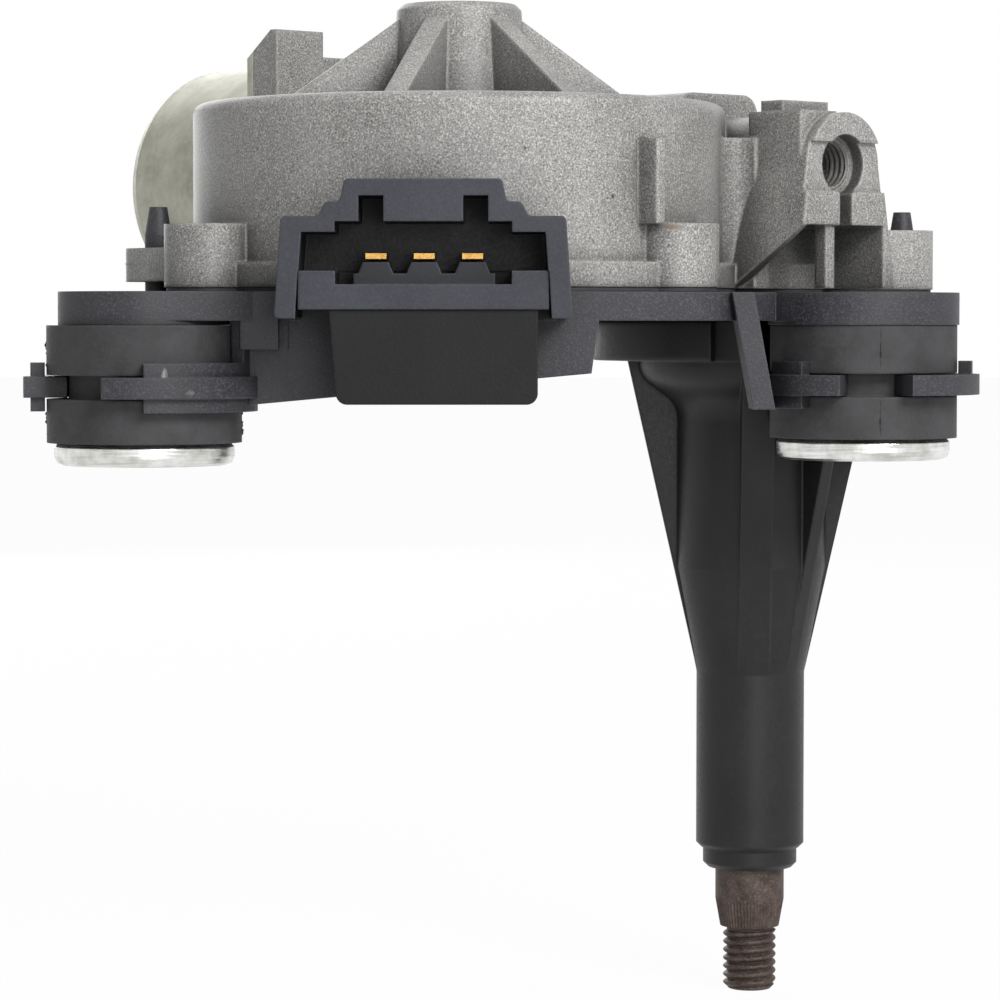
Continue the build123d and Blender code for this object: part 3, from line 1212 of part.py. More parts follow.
def hood_opening():
    """Mouth of the socket with its two keyways."""
    roof_z = HOOD_TOP_Z - HOOD_ROOF_DROP
    side_z = HOOD_SHOULDER_Z - HOOD_SIDE_DROP
    right = [
        (SOCKET_HALF, roof_z),
        (SOCKET_HALF, side_z),
        (HOOD_INNER_HALF, side_z),
        (HOOD_INNER_HALF + HOOD_SPLAY, HOOD_FOOT_Z - 1),
    ]
    left = [(-x, z) for x, z in reversed(right)]
    opening = make_face(Polyline(*right, *left, close=True))
    for side in (-1, 1):
        opening += Pos(side * KEYWAY_AT, roof_z) * Rectangle(KEYWAY_WIDTH, 2 * KEYWAY_DEPTH)
    return opening


def connector_hood():
    """Stepped hood over the terminal socket, closed at the back and open below between two legs."""
    foot_half = HOOD_INNER_HALF + HOOD_SPLAY
    below = make_face(Polyline(
        (-foot_half, HOOD_FOOT_Z - 1),
        (foot_half, HOOD_FOOT_Z - 1),
        (LIP_HALF + SEAT_GAP, LIP_CORNER_Z + SEAT_GAP),
        (-LIP_HALF - SEAT_GAP, LIP_CORNER_Z + SEAT_GAP),
        close=True,
    ))
    hood = connector_prism(hood_outline(), 0, HOOD_DEPTH)
    hood -= connector_prism(hood_opening(), -1, SOCKET_DEPTH)
    hood -= connector_prism(below, -1, HOOD_DEPTH + 1)
    for slot in pin_solids(SEAT_GAP):
        hood -= slot
    return hood


def connector_body():
    """Lower lip of the socket with the carrier of the pins."""
    step_half = LIP_HALF - LIP_CORNER_WIDTH
    lip = make_face(Polyline(
        (-LIP_HALF, LIP_FOOT_Z),
        (LIP_HALF, LIP_FOOT_Z),
        (LIP_HALF, LIP_CORNER_Z),
        (step_half, LIP_CORNER_Z),
        (step_half, LIP_TOP_Z),
        (-step_half, LIP_TOP_Z),
        (-step_half, LIP_CORNER_Z),
        (-LIP_HALF, LIP_CORNER_Z),
        close=True,
    ))
    sill = Pos(0, (LIP_FOOT_Z + LIP_CORNER_Z) / 2.0) * Rectangle(2 * LIP_HALF, LIP_CORNER_Z - LIP_FOOT_Z)
    carrier_half = PIN_PITCH + PEDESTAL_FOOT_HALF
    carrier_height = CARRIER_TOP_Z - LIP_FOOT_Z
    carrier = Pos(0, LIP_FOOT_Z + carrier_height / 2.0) * Rectangle(2 * carrier_half, carrier_height)
    body = connector_prism(lip, LIP_SETBACK, HOOD_DEPTH)
    body += connector_prism(sill, SOCKET_DEPTH, HOOD_DEPTH)
    body += connector_prism(carrier, PIN_REACH, SOCKET_DEPTH)
    pedestal_top = PIN_Z - PIN_THICK / 2.0 - PEDESTAL_GAP
    for index in (-1, 0, 1):
        at = index * PIN_PITCH
        pedestal = make_face(Polyline(
            (at - PEDESTAL_FOOT_HALF, LIP_TOP_Z),
            (at + PEDESTAL_FOOT_HALF, LIP_TOP_Z),
            (at + PEDESTAL_TOP_HALF, pedestal_top),
            (at - PEDESTAL_TOP_HALF, pedestal_top),
            close=True,
        ))
        body += connector_prism(pedestal, PIN_REACH, SOCKET_DEPTH - SEAT_GAP)
    return body


def connector_block():
    """Block under the lip, with rounded lower corners."""
    top = LIP_FOOT_Z - SEAT_GAP
    block = make_face(Polyline(
        (-BLOCK_LEFT, top),
        (BLOCK_TAPER - BLOCK_LEFT, BLOCK_FOOT_Z),
        (BLOCK_RIGHT, BLOCK_FOOT_Z),
        (BLOCK_RIGHT, top),
        close=True,
    ))
    block = fillet(block.vertices().group_by(Axis.Y)[0], BLOCK_CORNER_R)
    return connector_prism(block, BLOCK_SETBACK, HOOD_DEPTH)


def pin_solids(grow):
    """Three flat pins, grown by a clearance."""
    pins = []
    for index in (-1, 0, 1):
        blade = Pos(index * PIN_PITCH, PIN_Z) * Rectangle(PIN_WIDTH + 2 * grow, PIN_THICK + 2 * grow)
        pins.append(connector_prism(blade, PIN_REACH - grow, HOOD_DEPTH + grow))
    return pins


def terminal_pins():
    """Flat brass pins of the connector."""
    return pin_solids(0.0)


def save(name, shape):
    """Write one node, which may be a list of separate solids."""
    solids = shape if isinstance(shape, list) else [shape]
    export_step(Compound(children=[solid for item in solids for solid in item.solids()]), f"parts/{name}.step")


def main():
    """Build every node of the wiper motor and write it."""
    os.makedirs("parts", exist_ok=True)
    save("gear_housing", gear_housing())
    save("carrier_plate", carrier_plate())
    save("housing_gasket", housing_gasket())
    save("spindle_housing", spindle_housing())
    save("spindle_bush_lower", spindle_bush(LOWER_BUSH_Z, LOWER_BUSH_LENGTH))
    save("spindle_bush_upper", spindle_bush(PLATE_FOOT_Z - UPPER_BUSH_LENGTH, UPPER_BUSH_LENGTH))
    save("spindle_seal", spindle_seal())
    save("spindle_washer", spindle_washer())
    save("wiper_spindle", wiper_spindle())
    save("drive_lever", drive_lever())
    save("lever_pin", lever_pin())
    save("connecting_rod", connecting_rod())
    save("crank_pin", crank_pin())
    save("worm_wheel", worm_wheel())
    save("contact_disc", contact_disc())
    save("park_contacts", park_contacts())
    save("wheel_axle", wheel_axle())
    save("axle_clip", axle_clip())
    save("armature_shaft", armature_shaft())
    save("lamination_stack", lamination_stack())
    save("end_windings", end_windings())
    save("commutator", commutator())
    save("front_bush", shaft_bush(FRONT_BUSH_AT, FRONT_JOURNAL_R))
    save("mid_bush", shaft_bush(MID_BUSH_AT, MID_JOURNAL_R))
    save("rear_bush", rear_bush())
    save("thrust_screw", thrust_screw())
    save("motor_can", motor_can())
    save("field_magnets", field_magnets())
    save("brush_plate", brush_plate())
    save("carbon_brushes", carbon_brushes())
    save("brush_springs", brush_springs())
    save("motor_screws", motor_screws())
    save("housing_screws", housing_screws())
    save("connector_hood", connector_hood())
    save("connector_body", connector_body())
    save("connector_block", connector_block())
    save("terminal_pins", terminal_pins())
    for name, place in bush_places().items():
        save(f"grommet_{name}", grommet(*place[0]))
        save(f"sleeve_{name}", sleeve(*place[0]))


main()
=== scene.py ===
"""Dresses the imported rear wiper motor: finishes, fine detail, studio light and camera."""
import logging
from dataclasses import dataclass
from enum import Enum
from math import atan, pi, radians

import bmesh
import bpy
import numpy as np
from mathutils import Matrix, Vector


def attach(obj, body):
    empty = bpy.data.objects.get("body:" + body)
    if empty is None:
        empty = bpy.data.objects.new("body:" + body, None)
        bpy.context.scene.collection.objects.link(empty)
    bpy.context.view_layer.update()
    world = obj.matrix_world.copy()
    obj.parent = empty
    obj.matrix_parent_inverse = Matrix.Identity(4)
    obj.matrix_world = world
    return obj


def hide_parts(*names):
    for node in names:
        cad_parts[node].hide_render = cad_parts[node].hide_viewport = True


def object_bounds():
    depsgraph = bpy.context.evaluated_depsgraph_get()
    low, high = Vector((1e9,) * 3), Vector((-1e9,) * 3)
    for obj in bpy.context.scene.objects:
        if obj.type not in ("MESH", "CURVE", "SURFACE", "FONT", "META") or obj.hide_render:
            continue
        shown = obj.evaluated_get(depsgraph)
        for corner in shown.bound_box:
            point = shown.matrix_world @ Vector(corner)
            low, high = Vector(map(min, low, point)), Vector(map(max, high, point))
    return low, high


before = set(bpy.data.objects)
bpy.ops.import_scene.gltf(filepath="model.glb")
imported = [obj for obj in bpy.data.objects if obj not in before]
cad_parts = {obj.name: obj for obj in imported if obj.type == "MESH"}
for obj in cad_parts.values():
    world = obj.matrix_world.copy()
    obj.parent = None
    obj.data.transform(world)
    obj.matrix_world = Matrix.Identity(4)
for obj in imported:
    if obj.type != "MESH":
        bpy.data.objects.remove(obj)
CAD_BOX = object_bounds()

LOG = logging.getLogger("wiper_motor")
MM = 0.001


class Body(Enum):
    """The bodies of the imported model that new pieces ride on."""

    FRAME = "frame"
    SPINDLE = "spindle"


def linear(colour: str) -> tuple[float, float, float, float]:
    """Turn an sRGB hex colour into linear light.

    Args:
        colour: Six hex digits after a hash.

    Returns:
        Linear red, green and blue with full alpha.
    """
    parts = np.array([int(colour[at:at + 2], 16) for at in (1, 3, 5)]) / 255.0
    low = parts / 12.92
    high = ((parts + 0.055) / 1.055) ** 2.4
    return (*np.where(parts <= 0.04045, low, high).tolist(), 1.0)


def add(tree: bpy.types.NodeTree, kind: str, inputs: dict | None = None, **settings: object) -> bpy.types.Node:
    """Add one shader node with its settings, values and links.

    Args:
        tree: The node tree that takes the node.
        kind: Node type without its ShaderNode prefix.
        inputs: Socket name or number to a value, or to the output socket that feeds it.
        settings: Fields of the node itself.

    Returns:
        The new node.
    """
    node = tree.nodes.new("ShaderNode" + kind)
    for name, value in settings.items():
        setattr(node, name, value)
    for name, value in (inputs or {}).items():
        if isinstance(value, bpy.types.NodeSocket):
            tree.links.new(value, node.inputs[name])
        else:
            node.inputs[name].default_value = value
    return node


@dataclass(frozen=True)
class Mark:
    """A stain or scuff: an ellipsoid in the part's frame, in millimetres, with ragged edges."""

    place: tuple[float, float, float]
    size: tuple[float, float, float]
    colour: str
    strength: float = 0.8


@dataclass(frozen=True)
class Finish:
    """A surface with soft patches, a salt-and-pepper grain, a relief, paler edges that are partly rubbed wear and
    partly a painted highlight, and painted shade in its corners.

    Sizes are in millimetres. Patches mix tone and shade, the grain's peaks take the salt colour and its hollows the
    pepper colour, which is also that of the painted shade in corners. The edge colour shows where the rounded edge
    turns from the face, as rubbed wear and as a painted highlight.
    """

    name: str
    tone: str
    shade: str
    salt: str
    pepper: str
    edge: str
    metallic: float = 0.0
    specular: float = 0.5
    roughness: tuple[float, float] = (0.4, 0.6)
    patch_mm: float = 6.0
    grain_mm: float = 0.5
    speckle: float = 0.4
    relief_mm: float = 0.03
    edge_mm: float = 0.3
    # Paler edges, partly rubbed wear and partly a painted highlight: how strongly the edge colour shows
    wear_and_highlight: float = 0.5
    stretch: tuple[float, float, float] = (1.0, 1.0, 1.0)
    # Painted shade: how strongly corners and recesses are darkened towards the pepper colour, and within what distance
    # in millimetres
    painted_shade: float = 0.0
    painted_shade_mm: float = 3.0
    marks: tuple[Mark, ...] = ()

    def make(self) -> bpy.types.Material:
        """Build the node material.

        Returns:
            The material, ready for a piece's slot.
        """
        material = bpy.data.materials.new(self.name)
        material.use_nodes = True
        tree = material.node_tree
        tree.nodes.clear()
        place = add(tree, "TexCoord").outputs["Object"]
        drawn = add(tree, "Mapping", {"Vector": place, "Scale": self.stretch}).outputs["Vector"]
        grain = add(tree, "TexNoise", {
            "Vector": drawn, "Scale": 1.0 / (self.grain_mm * MM), "Detail": 1.0, "Roughness": 0.5,
        }).outputs["Fac"]
        rounded = add(tree, "Bevel", {"Radius": self.edge_mm * MM}, samples=6).outputs["Normal"]
        spotted = self.spots(tree, place, self.tones(tree, place, grain), grain)
        rough = add(tree, "MapRange", {
            "Value": grain, "From Min": 0.3, "From Max": 0.7, "To Min": self.roughness[0], "To Max": self.roughness[1],
        }).outputs["Result"]
        bump = add(tree, "Bump", {
            "Height": grain, "Distance": self.relief_mm * MM, "Strength": 1.0, "Normal": rounded,
        }).outputs["Normal"]
        shader = add(tree, "BsdfPrincipled", {
            "Base Color": self.rubbed_and_highlit(tree, spotted, grain, rounded), "Roughness": rough, "Metallic": self.metallic,
            "Specular IOR Level": self.specular, "Normal": bump,
        })
        add(tree, "OutputMaterial", {"Surface": shader.outputs["BSDF"]})
        return material

    def tones(self, tree: bpy.types.NodeTree, place: bpy.types.NodeSocket,
              grain: bpy.types.NodeSocket) -> bpy.types.NodeSocket:
        """Mix the patches and the two kinds of grain.

        Args:
            tree: The material's tree.
            place: Coordinates in metres.
            grain: Value of the fine grain.

        Returns:
            The colour of the bare surface.
        """
        patch = add(tree, "TexNoise", {
            "Vector": place, "Scale": 1.0 / (self.patch_mm * MM), "Detail": 3.0, "Roughness": 0.6,
        }).outputs["Fac"]
        share = add(tree, "MapRange", {"Value": patch, "From Min": 0.34, "From Max": 0.66}).outputs["Result"]
        colour = add(tree, "Mix", {
            "Factor": share, 6: linear(self.shade), 7: linear(self.tone),
        }, data_type="RGBA").outputs[2]
        for hue, near, far in ((self.salt, 0.54, 0.70), (self.pepper, 0.46, 0.30)):
            hit = add(tree, "MapRange", {
                "Value": grain, "From Min": near, "From Max": far, "To Max": self.speckle,
            }).outputs["Result"]
            colour = add(tree, "Mix", {"Factor": hit, 6: colour, 7: linear(hue)}, data_type="RGBA").outputs[2]
        return colour

    def spots(self, tree: bpy.types.NodeTree, place: bpy.types.NodeSocket, colour: bpy.types.NodeSocket,
              grain: bpy.types.NodeSocket) -> bpy.types.NodeSocket:
        """Lay the painted shade of corners and recesses and the marks over the bare surface. A mark fades with the
        distance from its middle.

        Args:
            tree: The material's tree.
            place: Coordinates in metres.
            colour: Colour of the bare surface.
            grain: Value of the fine grain, which breaks up the marks.

        Returns:
            The marked colour.
        """
        # Painted shade: where ambient occlusion finds the surface closed in, the colour darkens towards the pepper
        # colour
        if self.painted_shade > 0.0:
            openness = add(tree, "AmbientOcclusion", {"Distance": self.painted_shade_mm * MM}, samples=4).outputs["AO"]
            share = add(tree, "MapRange", {
                "Value": openness, "From Min": 0.85, "From Max": 0.35, "To Max": self.painted_shade,
            }).outputs["Result"]
            colour = add(tree, "Mix", {"Factor": share, 6: colour, 7: linear(self.pepper)}, data_type="RGBA").outputs[2]
        for mark in self.marks:
            away = add(tree, "Mapping", {
                "Vector": place, "Location": [-at / size for at, size in zip(mark.place, mark.size)],
                "Scale": [1.0 / (size * MM) for size in mark.size],
            }).outputs["Vector"]
            reach = add(tree, "VectorMath", {0: away}, operation="LENGTH").outputs["Value"]
            inside = add(tree, "MapRange", {
                "Value": reach, "From Min": 1.0, "From Max": 0.4, "To Max": mark.strength,
            }).outputs["Result"]
            broken = add(tree, "MapRange", {"Value": grain, "From Min": 0.3, "From Max": 0.55}).outputs["Result"]
            share = add(tree, "Math", {0: inside, 1: broken}, operation="MULTIPLY").outputs["Value"]
            colour = add(tree, "Mix", {
                "Factor": share, 6: colour, 7: linear(mark.colour),
            }, data_type="RGBA").outputs[2]
        return colour

    def rubbed_and_highlit(self, tree: bpy.types.NodeTree, colour: bpy.types.NodeSocket, grain: bpy.types.NodeSocket,
               rounded: bpy.types.NodeSocket) -> bpy.types.NodeSocket:
        """Show the edge colour, as rubbed wear and a painted highlight, where the rounded normal leaves the face's own.

        Args:
            tree: The material's tree.
            colour: Colour of the faces.
            grain: Value of the fine grain, which breaks up the rubbed wear and the painted highlight.
            rounded: Normal with rounded edges.

        Returns:
            The base colour.
        """
        face = add(tree, "NewGeometry").outputs["Normal"]
        facing = add(tree, "VectorMath", {0: rounded, 1: face}, operation="DOT_PRODUCT").outputs["Value"]
        # Painted highlight and rubbed wear: the edge colour grows where the rounded normal turns from the face's own
        turn = add(tree, "MapRange", {
            "Value": facing, "From Min": 0.99, "From Max": 0.80, "To Max": 2.0 * self.wear_and_highlight,
        }).outputs["Result"]
        share = add(tree, "Math", {0: turn, 1: grain}, operation="MULTIPLY").outputs["Value"]
        return add(tree, "Mix", {"Factor": share, 6: colour, 7: linear(self.edge)}, data_type="RGBA").outputs[2]


# Shot-blasted aluminium die casting: matt grey with bright and dark grains, paler edges that are partly rubbed wear and
# partly a painted highlight, and painted shade in its corners and recesses.
# The real grain is finer than a pixel, so it is drawn at 0.24 mm to show. The marks are a stain and two pits.
CAST_ALUMINIUM = Finish(
    "shot_blasted_cast_aluminium", "#979694", "#858482", "#d8d7d2", "#353433", "#c6c4bf", metallic=0.1,
    specular=0.4, roughness=(0.36, 0.52), patch_mm=10.0, grain_mm=0.24, speckle=0.6, relief_mm=0.04, edge_mm=0.8,
    wear_and_highlight=0.4, painted_shade=0.85, painted_shade_mm=9.0, marks=(
        Mark((-14.0, -44.5, 105.0), (2.2, 3.0, 0.6), "#6f5743"),
        Mark((-34.6, -51.8, 115.5), (0.3, 0.6, 0.4), "#1d1b1a", 1.0),
        Mark((-22.4, -46.5, 109.1), (0.3, 0.6, 0.4), "#1d1b1a", 1.0),
    ),
)
# Glass-filled black plastic from a spark-eroded mould: dull with a cool fine speckle, two pale scuffs and painted shade
# in its corners and recesses
PLATE_PLASTIC = Finish(
    "spark_grained_black_nylon", "#353539", "#2b2b2f", "#5c5e67", "#19191b", "#5c5d63", specular=0.4,
    roughness=(0.45, 0.65), patch_mm=7.0, grain_mm=0.28, speckle=0.45, relief_mm=0.04, wear_and_highlight=0.4, painted_shade=0.7,
    painted_shade_mm=6.0, marks=(
        Mark((-82.9, -63.5, 84.6), (0.6, 2.5, 1.4), "#c9c9c7"),
        Mark((-79.6, -63.0, 82.2), (1.0, 2.5, 0.8), "#a8a8a6", 0.5),
    ),
)
# Smooth black moulding of the spindle housing: very dark and even, with a soft shine on its edges
SPINDLE_PLASTIC = Finish(
    "smooth_black_nylon", "#202021", "#171718", "#292a2a", "#111112", "#434345", specular=0.3,
    roughness=(0.4, 0.5), patch_mm=14.0, grain_mm=0.6, speckle=0.2, relief_mm=0.012, edge_mm=0.5, wear_and_highlight=0.6,
)
# Satin moulding of the connector hood: a bluish charcoal, with painted shade deep in its mouth and corners
HOOD_PLASTIC = Finish(
    "satin_charcoal_polyester", "#34363d", "#2c2d34", "#484b55", "#141416", "#5a5c65", specular=0.35,
    roughness=(0.5, 0.62), patch_mm=8.0, grain_mm=0.35, speckle=0.3, relief_mm=0.02, edge_mm=0.4,
    painted_shade=1.0, painted_shade_mm=12.0,
)
# Satin black moulding of the connector's block
CONNECTOR_PLASTIC = Finish(
    "satin_black_polyester", "#161617", "#111112", "#232325", "#0c0c0d", "#38383c", specular=0.2,
    roughness=(0.45, 0.56), patch_mm=8.0, grain_mm=0.4, speckle=0.25, relief_mm=0.02, edge_mm=0.4,
)
# Moulded rubber: very dull, a little dusty, with soft edges
RUBBER = Finish(
    "moulded_black_rubber", "#424143", "#353435", "#555456", "#232223", "#575658", specular=0.3,
    roughness=(0.55, 0.75), patch_mm=5.0, grain_mm=0.4, speckle=0.2, relief_mm=0.02, edge_mm=0.5,
)
# Bright zinc plate on turned steel: a mirror broken by fine turning lines and cloudy stains
ZINC_SLEEVE = Finish(
    "bright_zinc_plate", "#ecedeb", "#bfc0b8", "#f4f4f2", "#9c9d93", "#f6f6f4", metallic=1.0,
    roughness=(0.18, 0.36), patch_mm=3.0, grain_mm=1.0, speckle=0.4, relief_mm=0.02, stretch=(0.15, 0.15, 3.0),
)
# Satin zinc plate on drawn steel: pale, slightly yellow, with cloudy blotches
CAN_STEEL = Finish(
    "satin_zinc_plate", "#b5b4a6", "#9a998b", "#c7c6ba", "#868478", "#d0cfc3", metallic=0.5,
    roughness=(0.42, 0.55), patch_mm=5.5, grain_mm=0.9, speckle=0.2, relief_mm=0.01, edge_mm=0.4,
)
# Steel that has rusted lightly: brown-black with duller patches and paler crests
SPINDLE_STEEL = Finish(
    "oxidised_steel", "#574a44", "#3a2f2a", "#85766d", "#241b17", "#87796f", metallic=0.35, specular=0.4,
    roughness=(0.45, 0.7), patch_mm=2.2, grain_mm=0.35, speckle=0.35, relief_mm=0.02, edge_mm=0.12,
)
# Machined or stamped steel inside the gearbox, and zinc-plated screws
MACHINED_STEEL = Finish(
    "machined_steel", "#a9a9a8", "#8f8f8e", "#c9c9c8", "#6f6f6e", "#dcdcdb", metallic=1.0,
    roughness=(0.28, 0.45), grain_mm=0.8, speckle=0.2, relief_mm=0.01,
)
# Oil-soaked sintered bronze: matt brown gold with open pores
SINTERED_BRONZE = Finish(
    "sintered_bronze", "#a8864f", "#86693c", "#c4a15f", "#4f3d23", "#c7a566", metallic=0.9,
    roughness=(0.45, 0.7), patch_mm=3.0, grain_mm=0.25, speckle=0.6, relief_mm=0.03,
)
# Enamelled copper wire and bare commutator copper
COPPER = Finish(
    "enamelled_copper", "#b96d44", "#8f4f30", "#d18a5c", "#6b3a22", "#e0a27a", metallic=1.0,
    roughness=(0.3, 0.45), patch_mm=2.0, relief_mm=0.05,
)
# Stamped brass of the terminal pins, a little tarnished
PIN_BRASS = Finish(
    "stamped_brass", "#c29a58", "#a17c42", "#d8b678", "#7a5c2e", "#e6cc96", metallic=1.0,
    roughness=(0.28, 0.44), patch_mm=2.0, grain_mm=0.4, speckle=0.2, relief_mm=0.01, edge_mm=0.12,
)
# Bare electrical steel sheet, dark and faintly rusty
LAMINATED_IRON = Finish(
    "laminated_iron", "#55555a", "#434347", "#6c655e", "#2f2f32", "#80807f", metallic=0.9,
    roughness=(0.4, 0.6), patch_mm=4.0, grain_mm=0.4,
)
# Pressed ferrite, a dull charcoal ceramic
FERRITE = Finish(
    "pressed_ferrite", "#39393b", "#2d2d2f", "#4a4a4c", "#1f1f20", "#5a5a5c",
    roughness=(0.6, 0.8), patch_mm=5.0, grain_mm=0.3,
)
# Moulded acetal of the worm wheel: creamy and waxy
ACETAL = Finish(
    "moulded_acetal", "#d5cfbf", "#c6bfae", "#e2ddcf", "#b3ab98", "#ece8de",
    roughness=(0.3, 0.42), patch_mm=8.0, grain_mm=0.6, speckle=0.2, relief_mm=0.01,
)
# Brown phenolic board of the brush plate
PHENOLIC = Finish(
    "phenolic_board", "#6f5233", "#5b4229", "#84653f", "#3f2d1b", "#8d7150",
    roughness=(0.4, 0.55), patch_mm=4.0, relief_mm=0.02,
)
# Pressed carbon of the brushes, sooty and matt
CARBON = Finish(
    "pressed_carbon", "#232325", "#1b1b1d", "#333335", "#111112", "#3c3c3e",
    roughness=(0.55, 0.75), patch_mm=3.0, grain_mm=0.3,
)


class Wardrobe:
    """Makes each finish once and puts it on pieces."""

    def __init__(self) -> None:
        """Start with no material made."""
        self.made: dict[str, bpy.types.Material] = {}

    def put(self, piece: bpy.types.Object, finish: Finish) -> None:
        """Give a piece one finish in place of what it has.

        Args:
            piece: A mesh piece or CAD node.
            finish: The finish to show.
        """
        if finish.name not in self.made:
            self.made[finish.name] = finish.make()
        piece.data.materials.clear()
        piece.data.materials.append(self.made[finish.name])

    def dress(self, finish: Finish, *nodes: str) -> None:
        """Give CAD nodes one finish.

        Args:
            finish: The finish to show.
            nodes: Names of the nodes.
        """
        for node in nodes:
            self.put(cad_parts[node], finish)
            LOG.info("dressed %s in %s", node, finish.name)


def signed_volume(points: np.ndarray, quads: np.ndarray) -> float:
    """Add up the tetrahedra from the origin to each half quad. A closed skin that faces inward comes out negative.

    Args:
        points: Array of shape (count, 3).
        quads: Array of shape (faces, 4) with the numbers of the corners.

    Returns:
        The volume inside the skin.
    """
    first, second, third, fourth = (points[quads[:, at]] for at in range(4))
    return float(np.sum(first * (np.cross(second, third) + np.cross(third, fourth))) / 6.0)


def skin(name: str, grids: list[np.ndarray], ring: bool, body: Body) -> bpy.types.Object:
    """Make one piece from grids of points, each a closed skin of quads between neighbours.

    The columns of a grid always run round. Its rows run round too on a ring, and otherwise start and end in a pole,
    whose points are welded. A grid whose skin would face inward has its quads turned.

    Args:
        name: The piece's name.
        grids: Arrays of shape (rows, columns, 3), in millimetres.
        ring: Whether the last row joins the first.
        body: The body that the piece rides on.

    Returns:
        The new mesh piece.
    """
    points, faces, start = [], [], 0
    for grid in grids:
        rows, columns = grid.shape[:2]
        down = np.arange(rows if ring else rows - 1)[:, None]
        along = np.arange(columns)[None, :]
        below, beside = (down + 1) % rows, (along + 1) % columns
        corners = [down * columns + along, down * columns + beside, below * columns + beside, below * columns + along]
        quads = np.stack(np.broadcast_arrays(*corners), axis=-1).reshape(-1, 4)
        flat = grid.reshape(-1, 3)
        if signed_volume(flat, quads) < 0.0:
            quads = quads[:, ::-1]
        points.append(flat * MM)
        faces.append(quads + start)
        start += len(flat)
    mesh = bpy.data.meshes.new(name)
    mesh.from_pydata(np.concatenate(points).tolist(), [], np.concatenate(faces).tolist())
    work = bmesh.new()
    work.from_mesh(mesh)
    bmesh.ops.remove_doubles(work, verts=work.verts, dist=1e-7)
    work.to_mesh(mesh)
    work.free()
    mesh.shade_smooth()
    mesh.set_sharp_from_angle(angle=radians(40.0))
    piece = bpy.data.objects.new(name, mesh)
    bpy.context.scene.collection.objects.link(piece)
    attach(piece, body.value)
    LOG.info("built %s with %d faces", name, len(mesh.polygons))
    return piece


@dataclass(frozen=True)
class Axes:
    """A place and three directions at right angles, in the part's frame and in millimetres."""

    origin: tuple[float, float, float]
    across: tuple[float, float, float] = (1.0, 0.0, 0.0)
    up: tuple[float, float, float] = (0.0, 1.0, 0.0)
    along: tuple[float, float, float] = (0.0, 0.0, 1.0)

    def turned(self, radius: np.ndarray, turn: np.ndarray, reach: np.ndarray) -> np.ndarray:
        """Points round the third direction: the radius at each turn angle, and the reach along the direction.

        Args:
            radius: Distances from the axis.
            turn: Angles in radians.
            reach: Distances along the axis.

        Returns:
            Array of the common shape with a last axis of three.
        """
        radius, turn, reach = np.broadcast_arrays(radius, turn, reach)
        flat = [radius * np.cos(turn), radius * np.sin(turn), reach]
        return np.array(self.origin) + sum(
            part[..., None] * np.array(way) for part, way in zip(flat, (self.across, self.up, self.along))
        )


def thread(crest: float, depth: float, pitch: float, turn: np.ndarray, reach: np.ndarray) -> np.ndarray:
    """Radius of a rolled thread: the sine of half a turn per pitch rounds the crests and leaves sharp roots.

    Args:
        crest: Radius at the crests.
        depth: Height of the crests over the roots.
        pitch: Rise for each turn.
        turn: Angles round the axis in radians.
        reach: Distances along the axis.

    Returns:
        Radius at each angle and distance.
    """
    return crest - depth * (1.0 - np.abs(np.sin(pi * reach / pitch - turn / 2.0)))


@dataclass(frozen=True)
class Screw:
    """A round-headed screw with a six-lobed drive. Lengths are in millimetres from the head's face."""

    head_r: float
    head_height: float
    shank_r: float
    length: float
    drive_r: float = 1.75
    lobe: float = 0.22
    drive_depth: float = 1.5
    pitch: float = 1.0

    def grid(self, axes: Axes) -> np.ndarray:
        """Carry the half section round the axis, with the drive's wall waved by six lobes.

        Args:
            axes: Middle of the head's face and the way into the screw.

        Returns:
            Grid of points from the drive's floor over the head to the tip.
        """
        turn = np.linspace(0.0, 2.0 * pi, 72, endpoint=False)[None, :]
        wall = self.drive_r + self.lobe * np.cos(6.0 * turn)
        head = self.head_r
        rounds = np.array([[0.70 * head, 0.0], [0.88 * head, 0.22], [0.97 * head, 0.62], [head, 1.1],
                           [head, self.head_height], [self.shank_r, self.head_height]])
        turns = np.linspace(self.head_height + 0.3, self.length - 0.6, 48)[:, None]
        radius = np.concatenate([
            0.0 * wall, 0.85 * wall, wall, wall + 0.08, wall + 0.2,
            np.broadcast_to(rounds[:, :1], (len(rounds), turn.shape[1])),
            thread(self.shank_r, 0.3, self.pitch, turn, turns),
            0.0 * wall + 0.6 * self.shank_r, 0.0 * wall,
        ])
        floor = self.drive_depth
        reach = np.concatenate([
            [floor, floor, floor - 0.15, 0.12, 0.02], rounds[:, 1], turns[:, 0], [self.length, self.length],
        ])[:, None]
        return axes.turned(radius, turn, reach)


class SubAssembly:
    """A group of CAD nodes with the pieces that are added to them."""

    def build(self, wardrobe: Wardrobe) -> None:
        """Add no piece. Groups that have some override this."""

    def dress(self, wardrobe: Wardrobe) -> None:
        """Put finishes on no node. Each group overrides this."""


# From the middle of the tunnel's end: sideways, up, and along the worm's axis towards the motor
WORM_AXES = Axes((11.928, -25.003, 114.4), (-0.743145, -0.669131, 0.0), (0.0, 0.0, 1.0), (-0.669131, 0.743145, 0.0))


